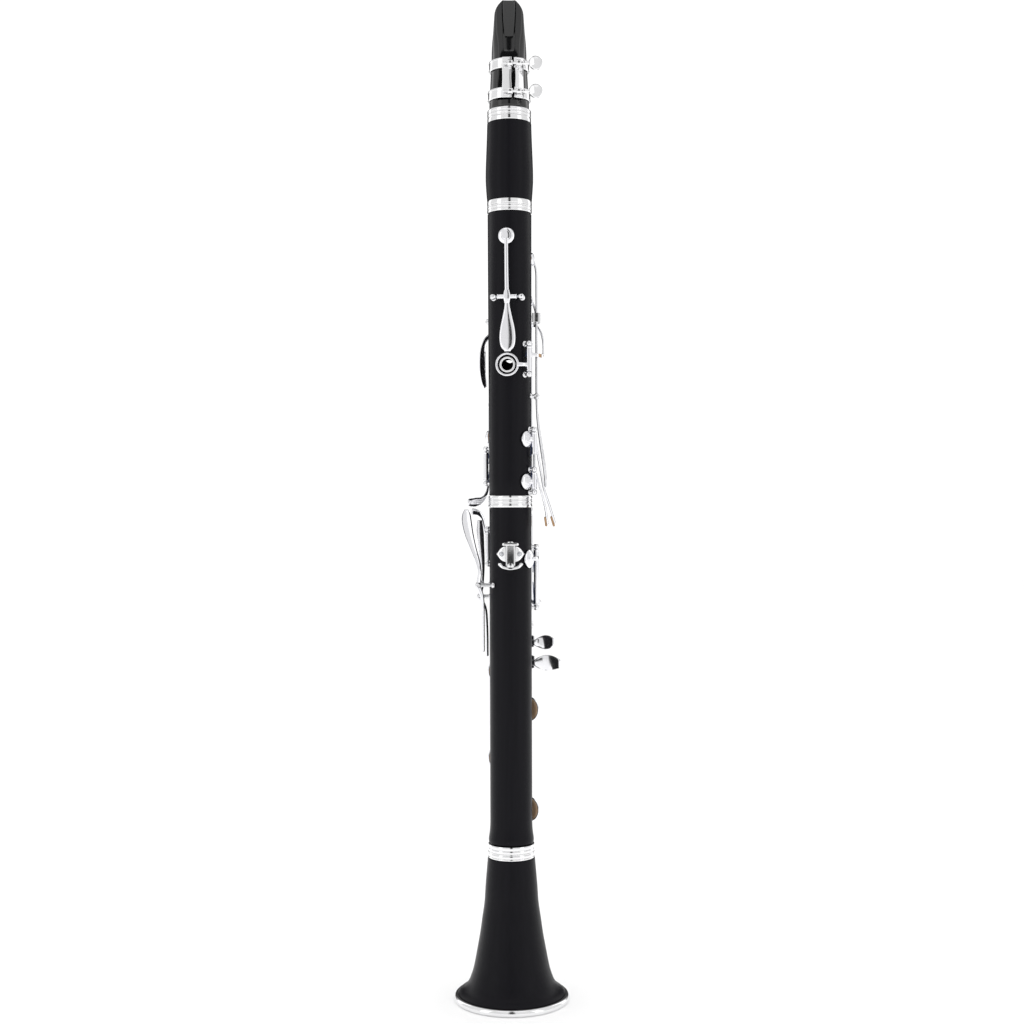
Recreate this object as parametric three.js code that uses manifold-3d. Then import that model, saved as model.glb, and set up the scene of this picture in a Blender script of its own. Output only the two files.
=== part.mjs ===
// B-flat clarinet with 17 keys and 6 rings, standing on its bell. Millimetres, +Z up.
// The thumb side faces -Y, the finger holes face +Y and the player's right hand side is +X.
// Angles round the bore are in degrees from +X, counter-clockwise seen from above.
import * as THREE from "three";
import { mergeVertices } from "three/addons/utils/BufferGeometryUtils.js";
import Module from "manifold-3d";

const wasm = await Module();
wasm.setup();

// Levels of the shoulders, from the floor up.
const BELL_TOP = 104.2;
const LOWER_TOP = 335;
const UPPER_TOP = 522;
const BARREL_TOP = 590.8;
const TIP = 662;
const GAP = 0.3;

// Wood and bore radii.
const BODY = 14;
const UPPER_FLARE = 14.6;
const BORE = 7.4;
const BELL_TENON = 11.2;
const TENON = 10.1;
const SOCKET_PLAY = 0.4;
const BELL_TENON_LENGTH = 20;
const MIDDLE_TENON_LENGTH = 20;
const TOP_TENON_LENGTH = 15;
const MOUTH_TENON_LENGTH = 16;
const CORK_DEPTH = 1.4;

// Key work.
const ROD = 0.75;
const TUBE = 1.7;
const TUBE_BORE = 1.15;
const TUBE_SIDES = 8;
const ROD_LINE = 17.5;
const POST = 1.2;
const KNOB = 1.9;
const ARM_WIDE = 2.4;
const ARM_THICK = 1.5;
const CUP_HIGH = 2.7;
const RING_INNER = 6.4;
const RING_OUTER = 7.7;
const RING_UNDER = 16.1;
const RING_HIGH = 1.5;
const CHIMNEY = 5.4;
const CHIMNEY_TOP = 16.0;

// Finger holes on the front: height and hole radius.
const FRONT = 90;
const HOLES = [
  { z: 427, hole: 3.0 },
  { z: 401, hole: 3.6 },
  { z: 375, hole: 3.8 },
  { z: 298, hole: 4.0 },
  { z: 275, hole: 4.2 },
  { z: 251, hole: 3.8 },
];
const THUMB = { deg: -96, z: 420.6, hole: 3.75 };

const FINISH = {
  wood: { color: 0x17171a, roughness: 0.45, metalness: 0 },
  ebonite: { color: 0x050506, roughness: 0.12, metalness: 0 },
  silver: { color: 0xe4e4e8, roughness: 0.12, metalness: 1 },
  steel: { color: 0xb8bac0, roughness: 0.3, metalness: 1 },
  cork: { color: 0xb98a5c, roughness: 0.9, metalness: 0 },
};

const group = new THREE.Group();

// A geometry with only its positions, its shared corners merged.
function bare(geometry) {
  geometry.deleteAttribute("normal");
  geometry.deleteAttribute("uv");
  return mergeVertices(geometry, 1e-4);
}

// A closed geometry as a solid with its faces pointing out.
function solid(geometry) {
  const index = geometry.index.array;
  const faces = [];
  for (let i = 0; i < index.length; i += 3) {
    const [a, b, c] = [index[i], index[i + 1], index[i + 2]];
    if (a !== b && b !== c && c !== a) faces.push(a, b, c);
  }
  const vertProperties = new Float32Array(geometry.attributes.position.array);
  const make = (list) => {
    const triVerts = new Uint32Array(list);
    return new wasm.Manifold(new wasm.Mesh({ numProp: 3, vertProperties, triVerts }));
  };
  const made = make(faces);
  return made.volume() < 0 ? make(faces.toReversed()) : made;
}

// One solid from overlapping geometries.
function fuse(...geometries) {
  return geometries.map(solid).reduce((sum, next) => sum.add(next));
}

// A solid less each of the geometries.
function cut(body, ...geometries) {
  return geometries.reduce((left, next) => left.subtract(solid(next)), body);
}

// Adds a finished solid to the clarinet as a named mesh.
function addPart(name, body, finish) {
  const data = body.getMesh();
  const geometry = new THREE.BufferGeometry();
  geometry.setAttribute("position", new THREE.BufferAttribute(data.vertProperties, 3));
  geometry.setIndex(new THREE.BufferAttribute(data.triVerts, 1));
  geometry.computeVertexNormals();
  const mesh = new THREE.Mesh(geometry, new THREE.MeshStandardMaterial(FINISH[finish]));
  mesh.name = name;
  group.add(mesh);
}

// A point at a radius, an angle and a height.
function at(radius, deg, z) {
  const turn = THREE.MathUtils.degToRad(deg);
  return new THREE.Vector3(radius * Math.cos(turn), radius * Math.sin(turn), z);
}

// A turned shape about the bore: [radius, height] pairs, closed on itself.
function turned(profile, sides = 18) {
  const points = profile.map(([radius, z]) => new THREE.Vector2(radius, z));
  points.push(points[0].clone());
  return bare(new THREE.LatheGeometry(points, sides)).rotateX(Math.PI / 2);
}

// A turned shape whose own axis points outwards from the bore at an angle and a height.
function turnedOut(profile, deg, z, sides = 12) {
  const points = profile.map(([radius, out]) => new THREE.Vector2(radius, out));
  if (points[0].x > 0) points.push(points[0].clone());
  const out = at(1, deg, 0);
  const up = new THREE.Vector3(0, 0, 1);
  const place = new THREE.Matrix4().makeBasis(out.clone().cross(up), out, up);
  place.setPosition(0, 0, z);
  return bare(new THREE.LatheGeometry(points, sides)).applyMatrix4(place);
}

// A round bar between two points.
function pin(from, to, radius, sides = 6) {
  const span = to.clone().sub(from);
  const shape = bare(new THREE.CylinderGeometry(radius, radius, span.length(), sides));
  const turn = new THREE.Quaternion();
  turn.setFromUnitVectors(new THREE.Vector3(0, 1, 0), span.normalize());
  const middle = from.clone().add(to).multiplyScalar(0.5);
  return shape.applyQuaternion(turn).translate(middle.x, middle.y, middle.z);
}

// A box between two corners.
function block(low, high) {
  const size = high.map((value, axis) => value - low[axis]);
  const middle = high.map((value, axis) => (value + low[axis]) / 2);
  return bare(new THREE.BoxGeometry(...size)).translate(...middle);
}

// A flat bar through stations of [point, width, thickness]. Its broad face looks along `out`,
// which is away from the bore where it isn't given.
function bar(stations, out = null) {
  const points = stations.map(([point]) => point);
  const corners = [];
  stations.forEach(([point, wide, thick], i) => {
    const ahead = points[Math.min(i + 1, points.length - 1)];
    const behind = points[Math.max(i - 1, 0)];
    const along = ahead.clone().sub(behind).normalize();
    const face = (out ?? new THREE.Vector3(point.x, point.y, 0)).clone();
    face.addScaledVector(along, -face.dot(along)).normalize();
    const side = along.clone().cross(face);
    for (const [s, f] of [[1, 1], [1, -1], [-1, -1], [-1, 1]]) {
      const corner = point.clone().addScaledVector(side, (s * wide) / 2);
      corners.push(corner.addScaledVector(face, (f * thick) / 2));
    }
  });
  const index = [0, 1, 2, 0, 2, 3];
  for (let i = 0; i + 4 < corners.length; i += 4) {
    for (let side = 0; side < 4; side += 1) {
      const next = (side + 1) % 4;
      index.push(i + side, i + 4 + side, i + next);
      index.push(i + next, i + 4 + side, i + 4 + next);
    }
  }
  const last = corners.length - 4;
  index.push(last, last + 2, last + 1, last, last + 3, last + 2);
  const geometry = new THREE.BufferGeometry().setFromPoints(corners);
  return geometry.setIndex(index);
}

// A bar of one width and thickness through [radius, degrees, height] stations.
function arm(stations, wide = ARM_WIDE, thick = ARM_THICK) {
  return bar(stations.map(([radius, deg, z]) => [at(radius, deg, z), wide, thick]));
}

// A padded cup that closes down onto a radius.
function cup(deg, z, radius, under) {
  const profile = [
    [0, under],
    [radius, under],
    [radius, under + CUP_HIGH * 0.6],
    [radius * 0.55, under + CUP_HIGH],
    [0, under + CUP_HIGH],
  ];
  return turnedOut(profile, deg, z);
}

// A finger ring round a chimney.
function fingerRing(deg, z) {
  const top = RING_UNDER + RING_HIGH;
  const profile = [
    [RING_INNER, RING_UNDER],
    [RING_OUTER, RING_UNDER],
    [RING_OUTER, top],
    [RING_INNER, top],
  ];
  return turnedOut(profile, deg, z, 14);
}

// A hinge line along the bore: its angle, its radius and its ends.
function hinge(deg, low, high, radius = ROD_LINE) {
  return { deg, radius, low, high, from: at(radius, deg, low), to: at(radius, deg, high) };
}

// A key's tube on a hinge line, between two heights.
function tube(line, low, high) {
  return pin(at(line.radius, line.deg, low), at(line.radius, line.deg, high), TUBE, TUBE_SIDES);
}

// The hole for the rod through a key on a hinge line.
function tubeBore(line) {
  const clear = 2;
  const low = at(line.radius, line.deg, line.low - clear);
  return pin(low, at(line.radius, line.deg, line.high + clear), TUBE_BORE, TUBE_SIDES);
}

// A geometry turned about a hinge line, for a pad that stands open.
function swung(geometry, line, deg) {
  const { x, y } = line.from;
  geometry.translate(-x, -y, 0);
  return geometry.rotateZ(THREE.MathUtils.degToRad(deg)).translate(x, y, 0);
}

// How far out a post starts that stands on wood of a radius, offset sideways from the bore.
function footOf(wood, offset) {
  return Math.sqrt((wood + GAP) ** 2 - (Math.abs(offset) - POST) ** 2);
}

// The rod of a hinge line with its posts, which stand just off wood of a given radius.
function rodWithPosts(line, postLevels, wood = BODY) {
  const parts = [pin(line.from, line.to, ROD)];
  for (const z of postLevels) {
    const top = at(line.radius, line.deg, z);
    parts.push(pin(at(wood + GAP, line.deg, z), top, POST));
    const knobHalf = new THREE.Vector3(0, 0, 1.5);
    parts.push(pin(top.clone().sub(knobHalf), top.clone().add(knobHalf), KNOB));
  }
  return fuse(...parts);
}

// A rod that crosses the bore's direction, with a post under each end.
function crossRod(deg, radius, z, half, wood = BODY) {
  const middle = at(radius, deg, z);
  const side = at(1, deg + 90, 0);
  const ends = [-half, half].map((offset) => middle.clone().addScaledVector(side, offset));
  const parts = [pin(ends[0], ends[1], ROD)];
  for (const [end, sign] of [[ends[0], 1], [ends[1], -1]]) {
    const base = at(footOf(wood, half), deg, z).addScaledVector(side, -sign * half);
    const inner = end.clone().addScaledVector(side, sign * 1.3);
    const outer = end.clone().addScaledVector(side, -sign * 1.3);
    parts.push(pin(base, end, POST), pin(outer, inner, KNOB));
  }
  return fuse(...parts);
}

// The tube of a key on a crossing rod, and the hole through it.
function crossTube(deg, radius, z, half, thickness = TUBE) {
  const middle = at(radius, deg, z);
  const side = at(1, deg + 90, 0);
  const from = middle.clone().addScaledVector(side, -half);
  return pin(from, middle.clone().addScaledVector(side, half), thickness, TUBE_SIDES);
}

// ---------------------------------------------------------------- wood and rings

// Pads: the angle, height and radius of each one, by the key that carries it.
const PADS = {
  throat_a: { deg: 93, z: 478, radius: 4.6 },
  throat_gs: { deg: 125, z: 470, radius: 5.0 },
  f_vent: { deg: 68, z: 441.5, radius: 4.2 },
  side_3: { deg: 30, z: 465, radius: 4.4 },
  side_4: { deg: 3, z: 492, radius: 4.6 },
  side_2: { deg: -40, z: 372, radius: 5.3 },
  side_1: { deg: -42, z: 344, radius: 5.2 },
  sliver_eb: { deg: 168, z: 374, radius: 4.3 },
  cs_gs: { deg: 122, z: 357, radius: 5.3 },
  ring_vent: { deg: 75, z: 316, radius: 4.6 },
  sliver_b: { deg: -28, z: 293, radius: 6.1 },
  gs_ds: { deg: 140, z: 217.7, radius: 7.4 },
  f_c: { deg: 40, z: 191.7, radius: 8.3 },
  fs_cs: { deg: 140, z: 160, radius: 7.6 },
  e_b: { deg: 40, z: 124.5, radius: 8.3 },
};
const UPPER_PADS = ["throat_a", "throat_gs", "f_vent", "side_3", "side_4", "side_2", "side_1",
  "sliver_eb", "cs_gs"];
const LOWER_PADS = ["ring_vent", "sliver_b", "gs_ds", "f_c", "fs_cs", "e_b"];

// The radius of the flat seat that is cut into the wood for a pad.
function seatOf(pad) {
  return BODY - pad.radius ** 2 / 32;
}

// The closed cup of a pad.
function closedCup(pad) {
  return cup(pad.deg, pad.z, pad.radius, seatOf(pad) + GAP);
}

// A round plug along an outward axis, for cutting.
function plug(deg, z, radius, from, to, sides = 8) {
  return turnedOut([[0, from], [radius, from], [radius, to], [0, to]], deg, z, sides);
}

// Cuts a joint's pad seats, their holes and its finger holes, after adding the chimneys.
function bored(wood, pads, holes, ringed) {
  let body = wood;
  for (const { z } of ringed) {
    body = body.add(solid(plug(FRONT, z, CHIMNEY, 12, CHIMNEY_TOP, 10)));
  }
  for (const name of pads) {
    const pad = PADS[name];
    body = cut(
      body,
      plug(pad.deg, pad.z, pad.radius + 0.6, seatOf(pad), 20, 10),
      plug(pad.deg, pad.z, pad.radius * 0.55, 5, 20, 6),
    );
  }
  for (const { z, hole } of holes) body = cut(body, plug(FRONT, z, hole, 5, 20, 6));
  return body;
}

// The outline of a tenon with its cork groove, from its free end to its shoulder.
function tenon(low, high, radius) {
  const groove = radius - CORK_DEPTH;
  const run = Math.sign(high - low);
  return [
    [radius, low],
    [radius, low + run * 3],
    [groove, low + run * 3],
    [groove, high - run * 4],
    [radius, high - run * 4],
    [radius, high],
  ];
}

// The cork ring in a tenon's groove.
function corkRing(low, high, radius) {
  const inner = radius - CORK_DEPTH + GAP;
  const outer = radius + SOCKET_PLAY - 0.15;
  const bottom = low + 3 + GAP;
  const top = high - 4 - GAP;
  return fuse(turned([[inner, bottom], [outer, bottom], [outer, top], [inner, top]]));
}

const bellFlare = new THREE.SplineCurve([
  new THREE.Vector2(34.6, 6.6),
  new THREE.Vector2(28.6, 12),
  new THREE.Vector2(25, 22.6),
  new THREE.Vector2(21, 44),
  new THREE.Vector2(18, 65),
  new THREE.Vector2(15.7, 94.4),
]);
const bellBore = new THREE.SplineCurve([
  new THREE.Vector2(10.2, 83.6),
  new THREE.Vector2(12.4, 65),
  new THREE.Vector2(16, 44),
  new THREE.Vector2(20.6, 24),
  new THREE.Vector2(31.2, 1.9),
]);
const bellSocket = BELL_TENON + SOCKET_PLAY;
const ringSeat = BELL_TENON + 1.5;
const bellProfile = [
  [34.6, 1.9],
  ...bellFlare.getPoints(9).map((point) => [point.x, point.y]),
  [ringSeat, 94.4],
  [ringSeat, BELL_TOP - GAP],
  [bellSocket, BELL_TOP - GAP],
  [bellSocket, 83.6],
  ...bellBore.getPoints(6).map((point) => [point.x, point.y]),
];
addPart("bell", fuse(turned(bellProfile, 24)), "wood");

const rimProfile = [
  [33.4, 0],
  [37.4, 0],
  [38.2, 1.6],
  [38.3, 3.4],
  [37.4, 5.2],
  [36.2, 5.9],
  [35, 5.6],
  [35, 1.5],
  [33.4, 1.5],
];
addPart("bell_rim_ring", fuse(turned(rimProfile, 24)), "silver");

// A metal ring with the groove between its beads: lower and upper level, inner and outer radius.
function beadedRing(low, high, inner, outer) {
  const middle = (high + low) / 2;
  const waist = outer - 0.5;
  return fuse(turned([
    [inner, low],
    [outer, low],
    [outer, middle - 0.6],
    [waist, middle],
    [outer, middle + 0.6],
    [outer, high],
    [inner, high],
  ]));
}
addPart("bell_top_ring", beadedRing(94.7, BELL_TOP - GAP, ringSeat + GAP, 15.5), "silver");
addPart("middle_ring", beadedRing(327, LOWER_TOP - GAP, 13.2, 14.6), "silver");
addPart("barrel_bottom_ring", beadedRing(UPPER_TOP + GAP, 531.6, 13.2, 14.9), "silver");
addPart("barrel_top_ring", beadedRing(583.4, BARREL_TOP - GAP, 13.2, 14.6), "silver");

const socket = TENON + SOCKET_PLAY;
const lowerFoot = BELL_TOP - BELL_TENON_LENGTH;
const lowerWood = fuse(turned([
  [9.2, lowerFoot],
  ...tenon(lowerFoot, BELL_TOP + GAP, BELL_TENON),
  [14.5, BELL_TOP + GAP],
  [15, 105.4],
  [15, 108],
  [14.3, 112.5],
  [BODY, 118],
  [BODY, 326.7],
  [12.9, 326.7],
  [12.9, LOWER_TOP - GAP],
  [socket, LOWER_TOP - GAP],
  [socket, LOWER_TOP - MIDDLE_TENON_LENGTH - GAP],
  [BORE, LOWER_TOP - MIDDLE_TENON_LENGTH - GAP],
  [BORE, 165],
]));
addPart("lower_joint", bored(lowerWood, LOWER_PADS, HOLES.slice(3), HOLES.slice(3)), "wood");
addPart("lower_joint_cork", corkRing(lowerFoot, BELL_TOP + GAP, BELL_TENON), "cork");

const upperFoot = LOWER_TOP - MIDDLE_TENON_LENGTH;
const upperHead = UPPER_TOP + TOP_TENON_LENGTH;
const upperWood = fuse(turned([
  [BORE, upperFoot],
  ...tenon(upperFoot, LOWER_TOP, TENON),
  [BODY, LOWER_TOP],
  [14.1, 345],
  [UPPER_FLARE, UPPER_TOP - 0.4],
  [14.2, UPPER_TOP],
  ...tenon(upperHead, UPPER_TOP, TENON).reverse(),
  [BORE, upperHead],
]));
const registerTubeAt = { deg: -97, z: 504.7, outer: 3.3, inner: 1.6, top: 16.2 };
const thumbTubeRadius = 5.2;
const upperBody = cut(
  bored(upperWood, UPPER_PADS, HOLES.slice(0, 3), HOLES.slice(0, 2)),
  plug(THUMB.deg, THUMB.z, THUMB.hole, 5, 20),
  plug(THUMB.deg, THUMB.z, thumbTubeRadius + GAP, 9.6, 20, 10),
  plug(registerTubeAt.deg, registerTubeAt.z, registerTubeAt.inner, 5, 20),
  plug(registerTubeAt.deg, registerTubeAt.z, registerTubeAt.outer + GAP, 9.6, 20, 8),
);
addPart("upper_joint", upperBody, "wood");
addPart("upper_joint_bottom_cork", corkRing(upperFoot, LOWER_TOP, TENON), "cork");
addPart("upper_joint_top_cork", corkRing(UPPER_TOP + 1, upperHead + 1, TENON), "cork");

// A short metal tube set into the wood.
function liner(deg, z, inner, outer, top) {
  const low = 9.6 + GAP;
  return fuse(turnedOut([[inner, low], [outer, low], [outer, top], [inner, top]], deg, z));
}
const { deg: tubeDeg, z: tubeZ, inner: tubeInner, outer: tubeOuter, top: tubeTop } = registerTubeAt;
addPart("register_tube", liner(tubeDeg, tubeZ, tubeInner, tubeOuter, tubeTop), "silver");
addPart("thumb_tube", liner(THUMB.deg, THUMB.z, THUMB.hole, thumbTubeRadius, 16.4), "silver");

const mouthSocket = 11.3;
const barrelSide = new THREE.SplineCurve([
  new THREE.Vector2(14.9, 532),
  new THREE.Vector2(15.8, 544),
  new THREE.Vector2(15.3, 564),
  new THREE.Vector2(14.7, 583.1),
]);
addPart("barrel", fuse(turned([
  [socket, UPPER_TOP + GAP],
  [12.9, UPPER_TOP + GAP],
  [12.9, 532],
  ...barrelSide.getPoints(5).map((point) => [point.x, point.y]),
  [12.9, 583.1],
  [12.9, BARREL_TOP - GAP],
  [mouthSocket, BARREL_TOP - GAP],
  [mouthSocket, BARREL_TOP - MOUTH_TENON_LENGTH - GAP],
  [BORE, BARREL_TOP - MOUTH_TENON_LENGTH - GAP],
  [BORE, upperHead + GAP],
  [socket, upperHead + GAP],
])), "wood");

// ---------------------------------------------------------------- mouthpiece and ligature

const mouthTenon = mouthSocket - SOCKET_PLAY;
const mouthFoot = BARREL_TOP - MOUTH_TENON_LENGTH;
const TABLE = -9.6;
const CHAMBER = 7.4;
const WINDOW_LOW = 630;
const WINDOW_HALF = 4;

// The side outline of the beak, which narrows towards the tip.
const beakWidth = new THREE.Shape();
beakWidth.moveTo(-16, 570);
beakWidth.lineTo(16, 570);
beakWidth.lineTo(16, 625);
beakWidth.lineTo(11.6, 628);
beakWidth.lineTo(9.6, 650);
beakWidth.quadraticCurveTo(8.4, TIP - 0.5, 3.5, TIP);
beakWidth.lineTo(-3.5, TIP);
beakWidth.quadraticCurveTo(-8.4, TIP - 0.5, -9.6, 650);
beakWidth.lineTo(-11.6, 628);
beakWidth.lineTo(-16, 625);
const widthSolid = new THREE.ExtrudeGeometry(beakWidth, {
  depth: 40,
  bevelEnabled: false,
  curveSegments: 3,
});
widthSolid.translate(0, 0, -20);
widthSolid.rotateX(Math.PI / 2);

// What the beak slope and the table leave: an outline in Y and Z, across the whole width.
const beakSide = new THREE.Shape();
beakSide.moveTo(-16, 570);
beakSide.lineTo(-16, 592.8);
beakSide.lineTo(TABLE, 594.2);
beakSide.lineTo(TABLE + 0.2, 640);
beakSide.lineTo(TABLE + 0.9, TIP + 0.1);
beakSide.lineTo(TABLE + 1.6, TIP + 0.1);
beakSide.quadraticCurveTo(3.4, 647, 12, 628);
beakSide.lineTo(16, 625);
beakSide.lineTo(16, 570);
const sideSolid = new THREE.ExtrudeGeometry(beakSide, {
  depth: 40,
  bevelEnabled: false,
  curveSegments: 4,
});
sideSolid.translate(0, 0, -20);
sideSolid.rotateY(Math.PI / 2);
sideSolid.rotateX(Math.PI / 2);

const mouthBody = fuse(turned([
  [0, mouthFoot],
  ...tenon(mouthFoot, BARREL_TOP, mouthTenon),
  [12.6, BARREL_TOP],
  [13.2, 592.8],
  [12.9, 600],
  [12, 618],
  [11.6, 626],
  [11.6, TIP + 1],
  [0, TIP + 1],
]));
const chamber = pin(at(0, 0, mouthFoot - 1), at(0, 0, 622), CHAMBER, 10);
const throat = bar([
  [new THREE.Vector3(0, -1, 610), 9, 11],
  [new THREE.Vector3(0, -5, 634), 8, 8],
  [new THREE.Vector3(0, -8.6, 660.4), 9, 2.6],
], new THREE.Vector3(0, -1, 0));
const window = bar([
  [new THREE.Vector3(0, TABLE, WINDOW_LOW), WINDOW_HALF * 2, 6],
  [new THREE.Vector3(0, TABLE, 660.4), WINDOW_HALF * 2.4, 2.4],
], new THREE.Vector3(0, -1, 0));
const mouthpiece = cut(
  mouthBody.intersect(solid(bare(widthSolid))).intersect(solid(bare(sideSolid))),
  chamber,
  throat,
  window,
);
addPart("mouthpiece", mouthpiece, "ebonite");
addPart("mouthpiece_cork", corkRing(mouthFoot, BARREL_TOP, mouthTenon), "cork");

const LIGATURE = { low: 596.4, high: 622.9, band: 7.5, inner: 13.5, wall: 0.7, taper: 1 };
const SCREW_LINE = -16.2;
const SCREW_LEVELS = [599.6, 618];
const SPLIT = 2.8;
const plateHalf = 4.2;
let ligature = fuse(
  turned([
    [LIGATURE.inner, LIGATURE.low],
    [LIGATURE.inner + LIGATURE.wall, LIGATURE.low],
    [LIGATURE.inner + LIGATURE.wall - LIGATURE.taper, LIGATURE.high],
    [LIGATURE.inner - LIGATURE.taper, LIGATURE.high],
  ], 20),
);
ligature = cut(
  ligature,
  block([SPLIT + plateHalf, -20, LIGATURE.low + LIGATURE.band],
    [20, 20, LIGATURE.high - LIGATURE.band]),
  block([-20, -20, LIGATURE.low + LIGATURE.band],
    [SPLIT - plateHalf - 1.5, 20, LIGATURE.high - LIGATURE.band]),
  block([-20, -8, LIGATURE.low + LIGATURE.band], [20, 20, LIGATURE.high - LIGATURE.band]),
);
for (const z of SCREW_LEVELS) {
  for (const x of [SPLIT - plateHalf, SPLIT + plateHalf]) {
    ligature = ligature.add(solid(block([x - 1.6, -18.2, z - 2], [x + 1.6, -12, z + 2])));
  }
}
ligature = cut(ligature, block([SPLIT - 0.9, -20, 590], [SPLIT + 0.9, -8, 630]));
for (const z of SCREW_LEVELS) {
  const from = new THREE.Vector3(-10, SCREW_LINE, z);
  ligature = cut(ligature, pin(from, new THREE.Vector3(15, SCREW_LINE, z), 1.4));
}
addPart("ligature", ligature, "silver");

const HEAD = { x: 17.4, radius: 4.5, half: 1.2 };
SCREW_LEVELS.forEach((z, i) => {
  const shaft = pin(
    new THREE.Vector3(-4, SCREW_LINE, z),
    new THREE.Vector3(HEAD.x - 2, SCREW_LINE, z),
    1,
  );
  const neck = pin(
    new THREE.Vector3(9.4, SCREW_LINE, z),
    new THREE.Vector3(HEAD.x - 3, SCREW_LINE, z),
    1.7,
  );
  const disc = pin(
    new THREE.Vector3(HEAD.x, SCREW_LINE - HEAD.half, z),
    new THREE.Vector3(HEAD.x, SCREW_LINE + HEAD.half, z),
    HEAD.radius,
    14,
  );
  addPart(`ligature_screw_${i + 1}`, fuse(shaft, neck, disc), "silver");
});

// ---------------------------------------------------------------- thumb rest

const PLATE_MIDDLE = 296.4;
const saddle = bar([
  [at(15.2, -124, PLATE_MIDDLE), 3, 1.5],
  [at(15.2, -115, PLATE_MIDDLE), 8, 1.5],
  [at(15.2, -101, PLATE_MIDDLE), 10.5, 1.5],
  [at(15.2, -90, PLATE_MIDDLE), 10.8, 1.5],
  [at(15.2, -79, PLATE_MIDDLE), 10.5, 1.5],
  [at(15.2, -65, PLATE_MIDDLE), 8, 1.5],
  [at(15.2, -56, PLATE_MIDDLE), 3, 1.5],
]);
const rails = [-1, 1].map((side) => {
  const inner = side * 2.6;
  const outer = side * 3.8;
  return block(
    [Math.min(inner, outer), -18.2, 293],
    [Math.max(inner, outer), -14.9, 301.4],
  );
});
addPart("thumb_rest_base", fuse(saddle, ...rails), "silver");

const HOOK_LEVEL = 287;
const hookPad = bar([
  [new THREE.Vector3(-7.4, -22.6, HOOK_LEVEL + 3), 7, 1.6],
  [new THREE.Vector3(-5, -22.6, HOOK_LEVEL + 1), 9, 1.8],
  [new THREE.Vector3(0, -22.6, HOOK_LEVEL), 9.6, 2],
  [new THREE.Vector3(5, -22.6, HOOK_LEVEL + 1), 9, 1.8],
  [new THREE.Vector3(7.4, -22.6, HOOK_LEVEL + 3), 7, 1.6],
], new THREE.Vector3(0, 0, -1));
const hookStem = block([-2.2, -18.7, HOOK_LEVEL - 1], [2.2, -16.6, 303.4]);
const hookBar = block([-4.6, -20.4, 301.8], [4.6, -18.6, 304]);
addPart("thumb_rest_hook", fuse(hookPad, hookStem, hookBar), "silver");

// ---------------------------------------------------------------- keys of the upper joint

// Adds a key that turns on a hinge line along the bore.
function addKey(name, line, ...pieces) {
  addPart(name, cut(fuse(...pieces), tubeBore(line)), "silver");
}

// Adds a key that rocks on a rod across the bore.
function addRocker(name, rod, half, ...pieces) {
  const hole = crossTube(rod.deg, rod.radius, rod.z, half + 3, TUBE_BORE);
  const sleeve = crossTube(rod.deg, rod.radius, rod.z, half);
  addPart(name, cut(fuse(sleeve, ...pieces), hole), "silver");
}

// A lever with its own width at every station, on [radius, degrees, height, width] stations.
function lever(stations, thick = ARM_THICK) {
  return bar(stations.map(([radius, deg, z, wide]) => [at(radius, deg, z), wide, thick]));
}

const registerRod = { deg: -95.6, radius: 18.2, z: 464.8, half: 9.3 };
addPart("register_key_rod", crossRod(registerRod.deg, registerRod.radius, registerRod.z,
  registerRod.half, 14.4), "steel");
addRocker(
  "register_key",
  registerRod,
  6.4,
  cup(registerTubeAt.deg, registerTubeAt.z, 5.3, registerTubeAt.top + GAP),
  lever([
    [18.6, -96.9, 503, 2.9],
    [19.3, -96.5, 497, 2.9],
    [19.2, -96.2, 480, 2.9],
    [18.7, -95.6, 464.8, 3],
    [18.4, -95.3, 454, 4],
    [18.3, -95, 446, 7],
    [18.1, -95, 439, 10],
    [17.9, -95, 433.5, 9],
    [17.8, -95, 430, 4.5],
  ]),
);

const thumbLine = hinge(-47, 412.9, 436.2, 18.3);
addPart("thumb_key_rod", rodWithPosts(thumbLine, [414.4, 434.7], 14.3), "steel");
addKey(
  "thumb_ring_key",
  thumbLine,
  tube(thumbLine, 416.4, 432.7),
  fingerRing(THUMB.deg, THUMB.z),
  arm([[18.4, -73, THUMB.z], [18.7, -60, THUMB.z], [18.3, -47, THUMB.z]]),
  arm([[18.3, -47, 427.5], [19.4, -33, 427.5], [19.9, -20, 427.5], [19.9, -11, 427.5]]),
);

const upperFront = hinge(40, 343, 456);
addPart("upper_front_rod", rodWithPosts(upperFront, [344.5, 436.6, 454.5], 14.3), "steel");

const VENT_OPEN = 5.25;
addKey(
  "f_vent_key",
  upperFront,
  tube(upperFront, 438.6, 452.5),
  swung(closedCup(PADS.f_vent), upperFront, -VENT_OPEN),
  arm([[17.5, 40, 443], [18.4, 50, 442.5], [17.6, 62, 441.5]]),
  arm([[17.5, 40, 450], [21.3, 31, 448.5], [22.7, 16, 441], [22.2, -4, 429.5],
    [21.7, -12, 427.5]], 2.2, 1.2),
);

// The arm from a hinge line on the right to the side of a finger ring.
function ringArm(z) {
  return arm([[17.5, 40, z], [18.6, 53, z], [18.3, 67, z]]);
}
addKey(
  "upper_ring_key",
  upperFront,
  tube(upperFront, 346.6, 434.5),
  fingerRing(FRONT, HOLES[0].z),
  fingerRing(FRONT, HOLES[1].z),
  ringArm(HOLES[0].z),
  ringArm(HOLES[1].z),
  arm([[17.5, 40, 348.5], [19.8, 50, 347.5], [20.4, 60, 345], [20.2, 64, 340]], 3),
);

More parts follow.
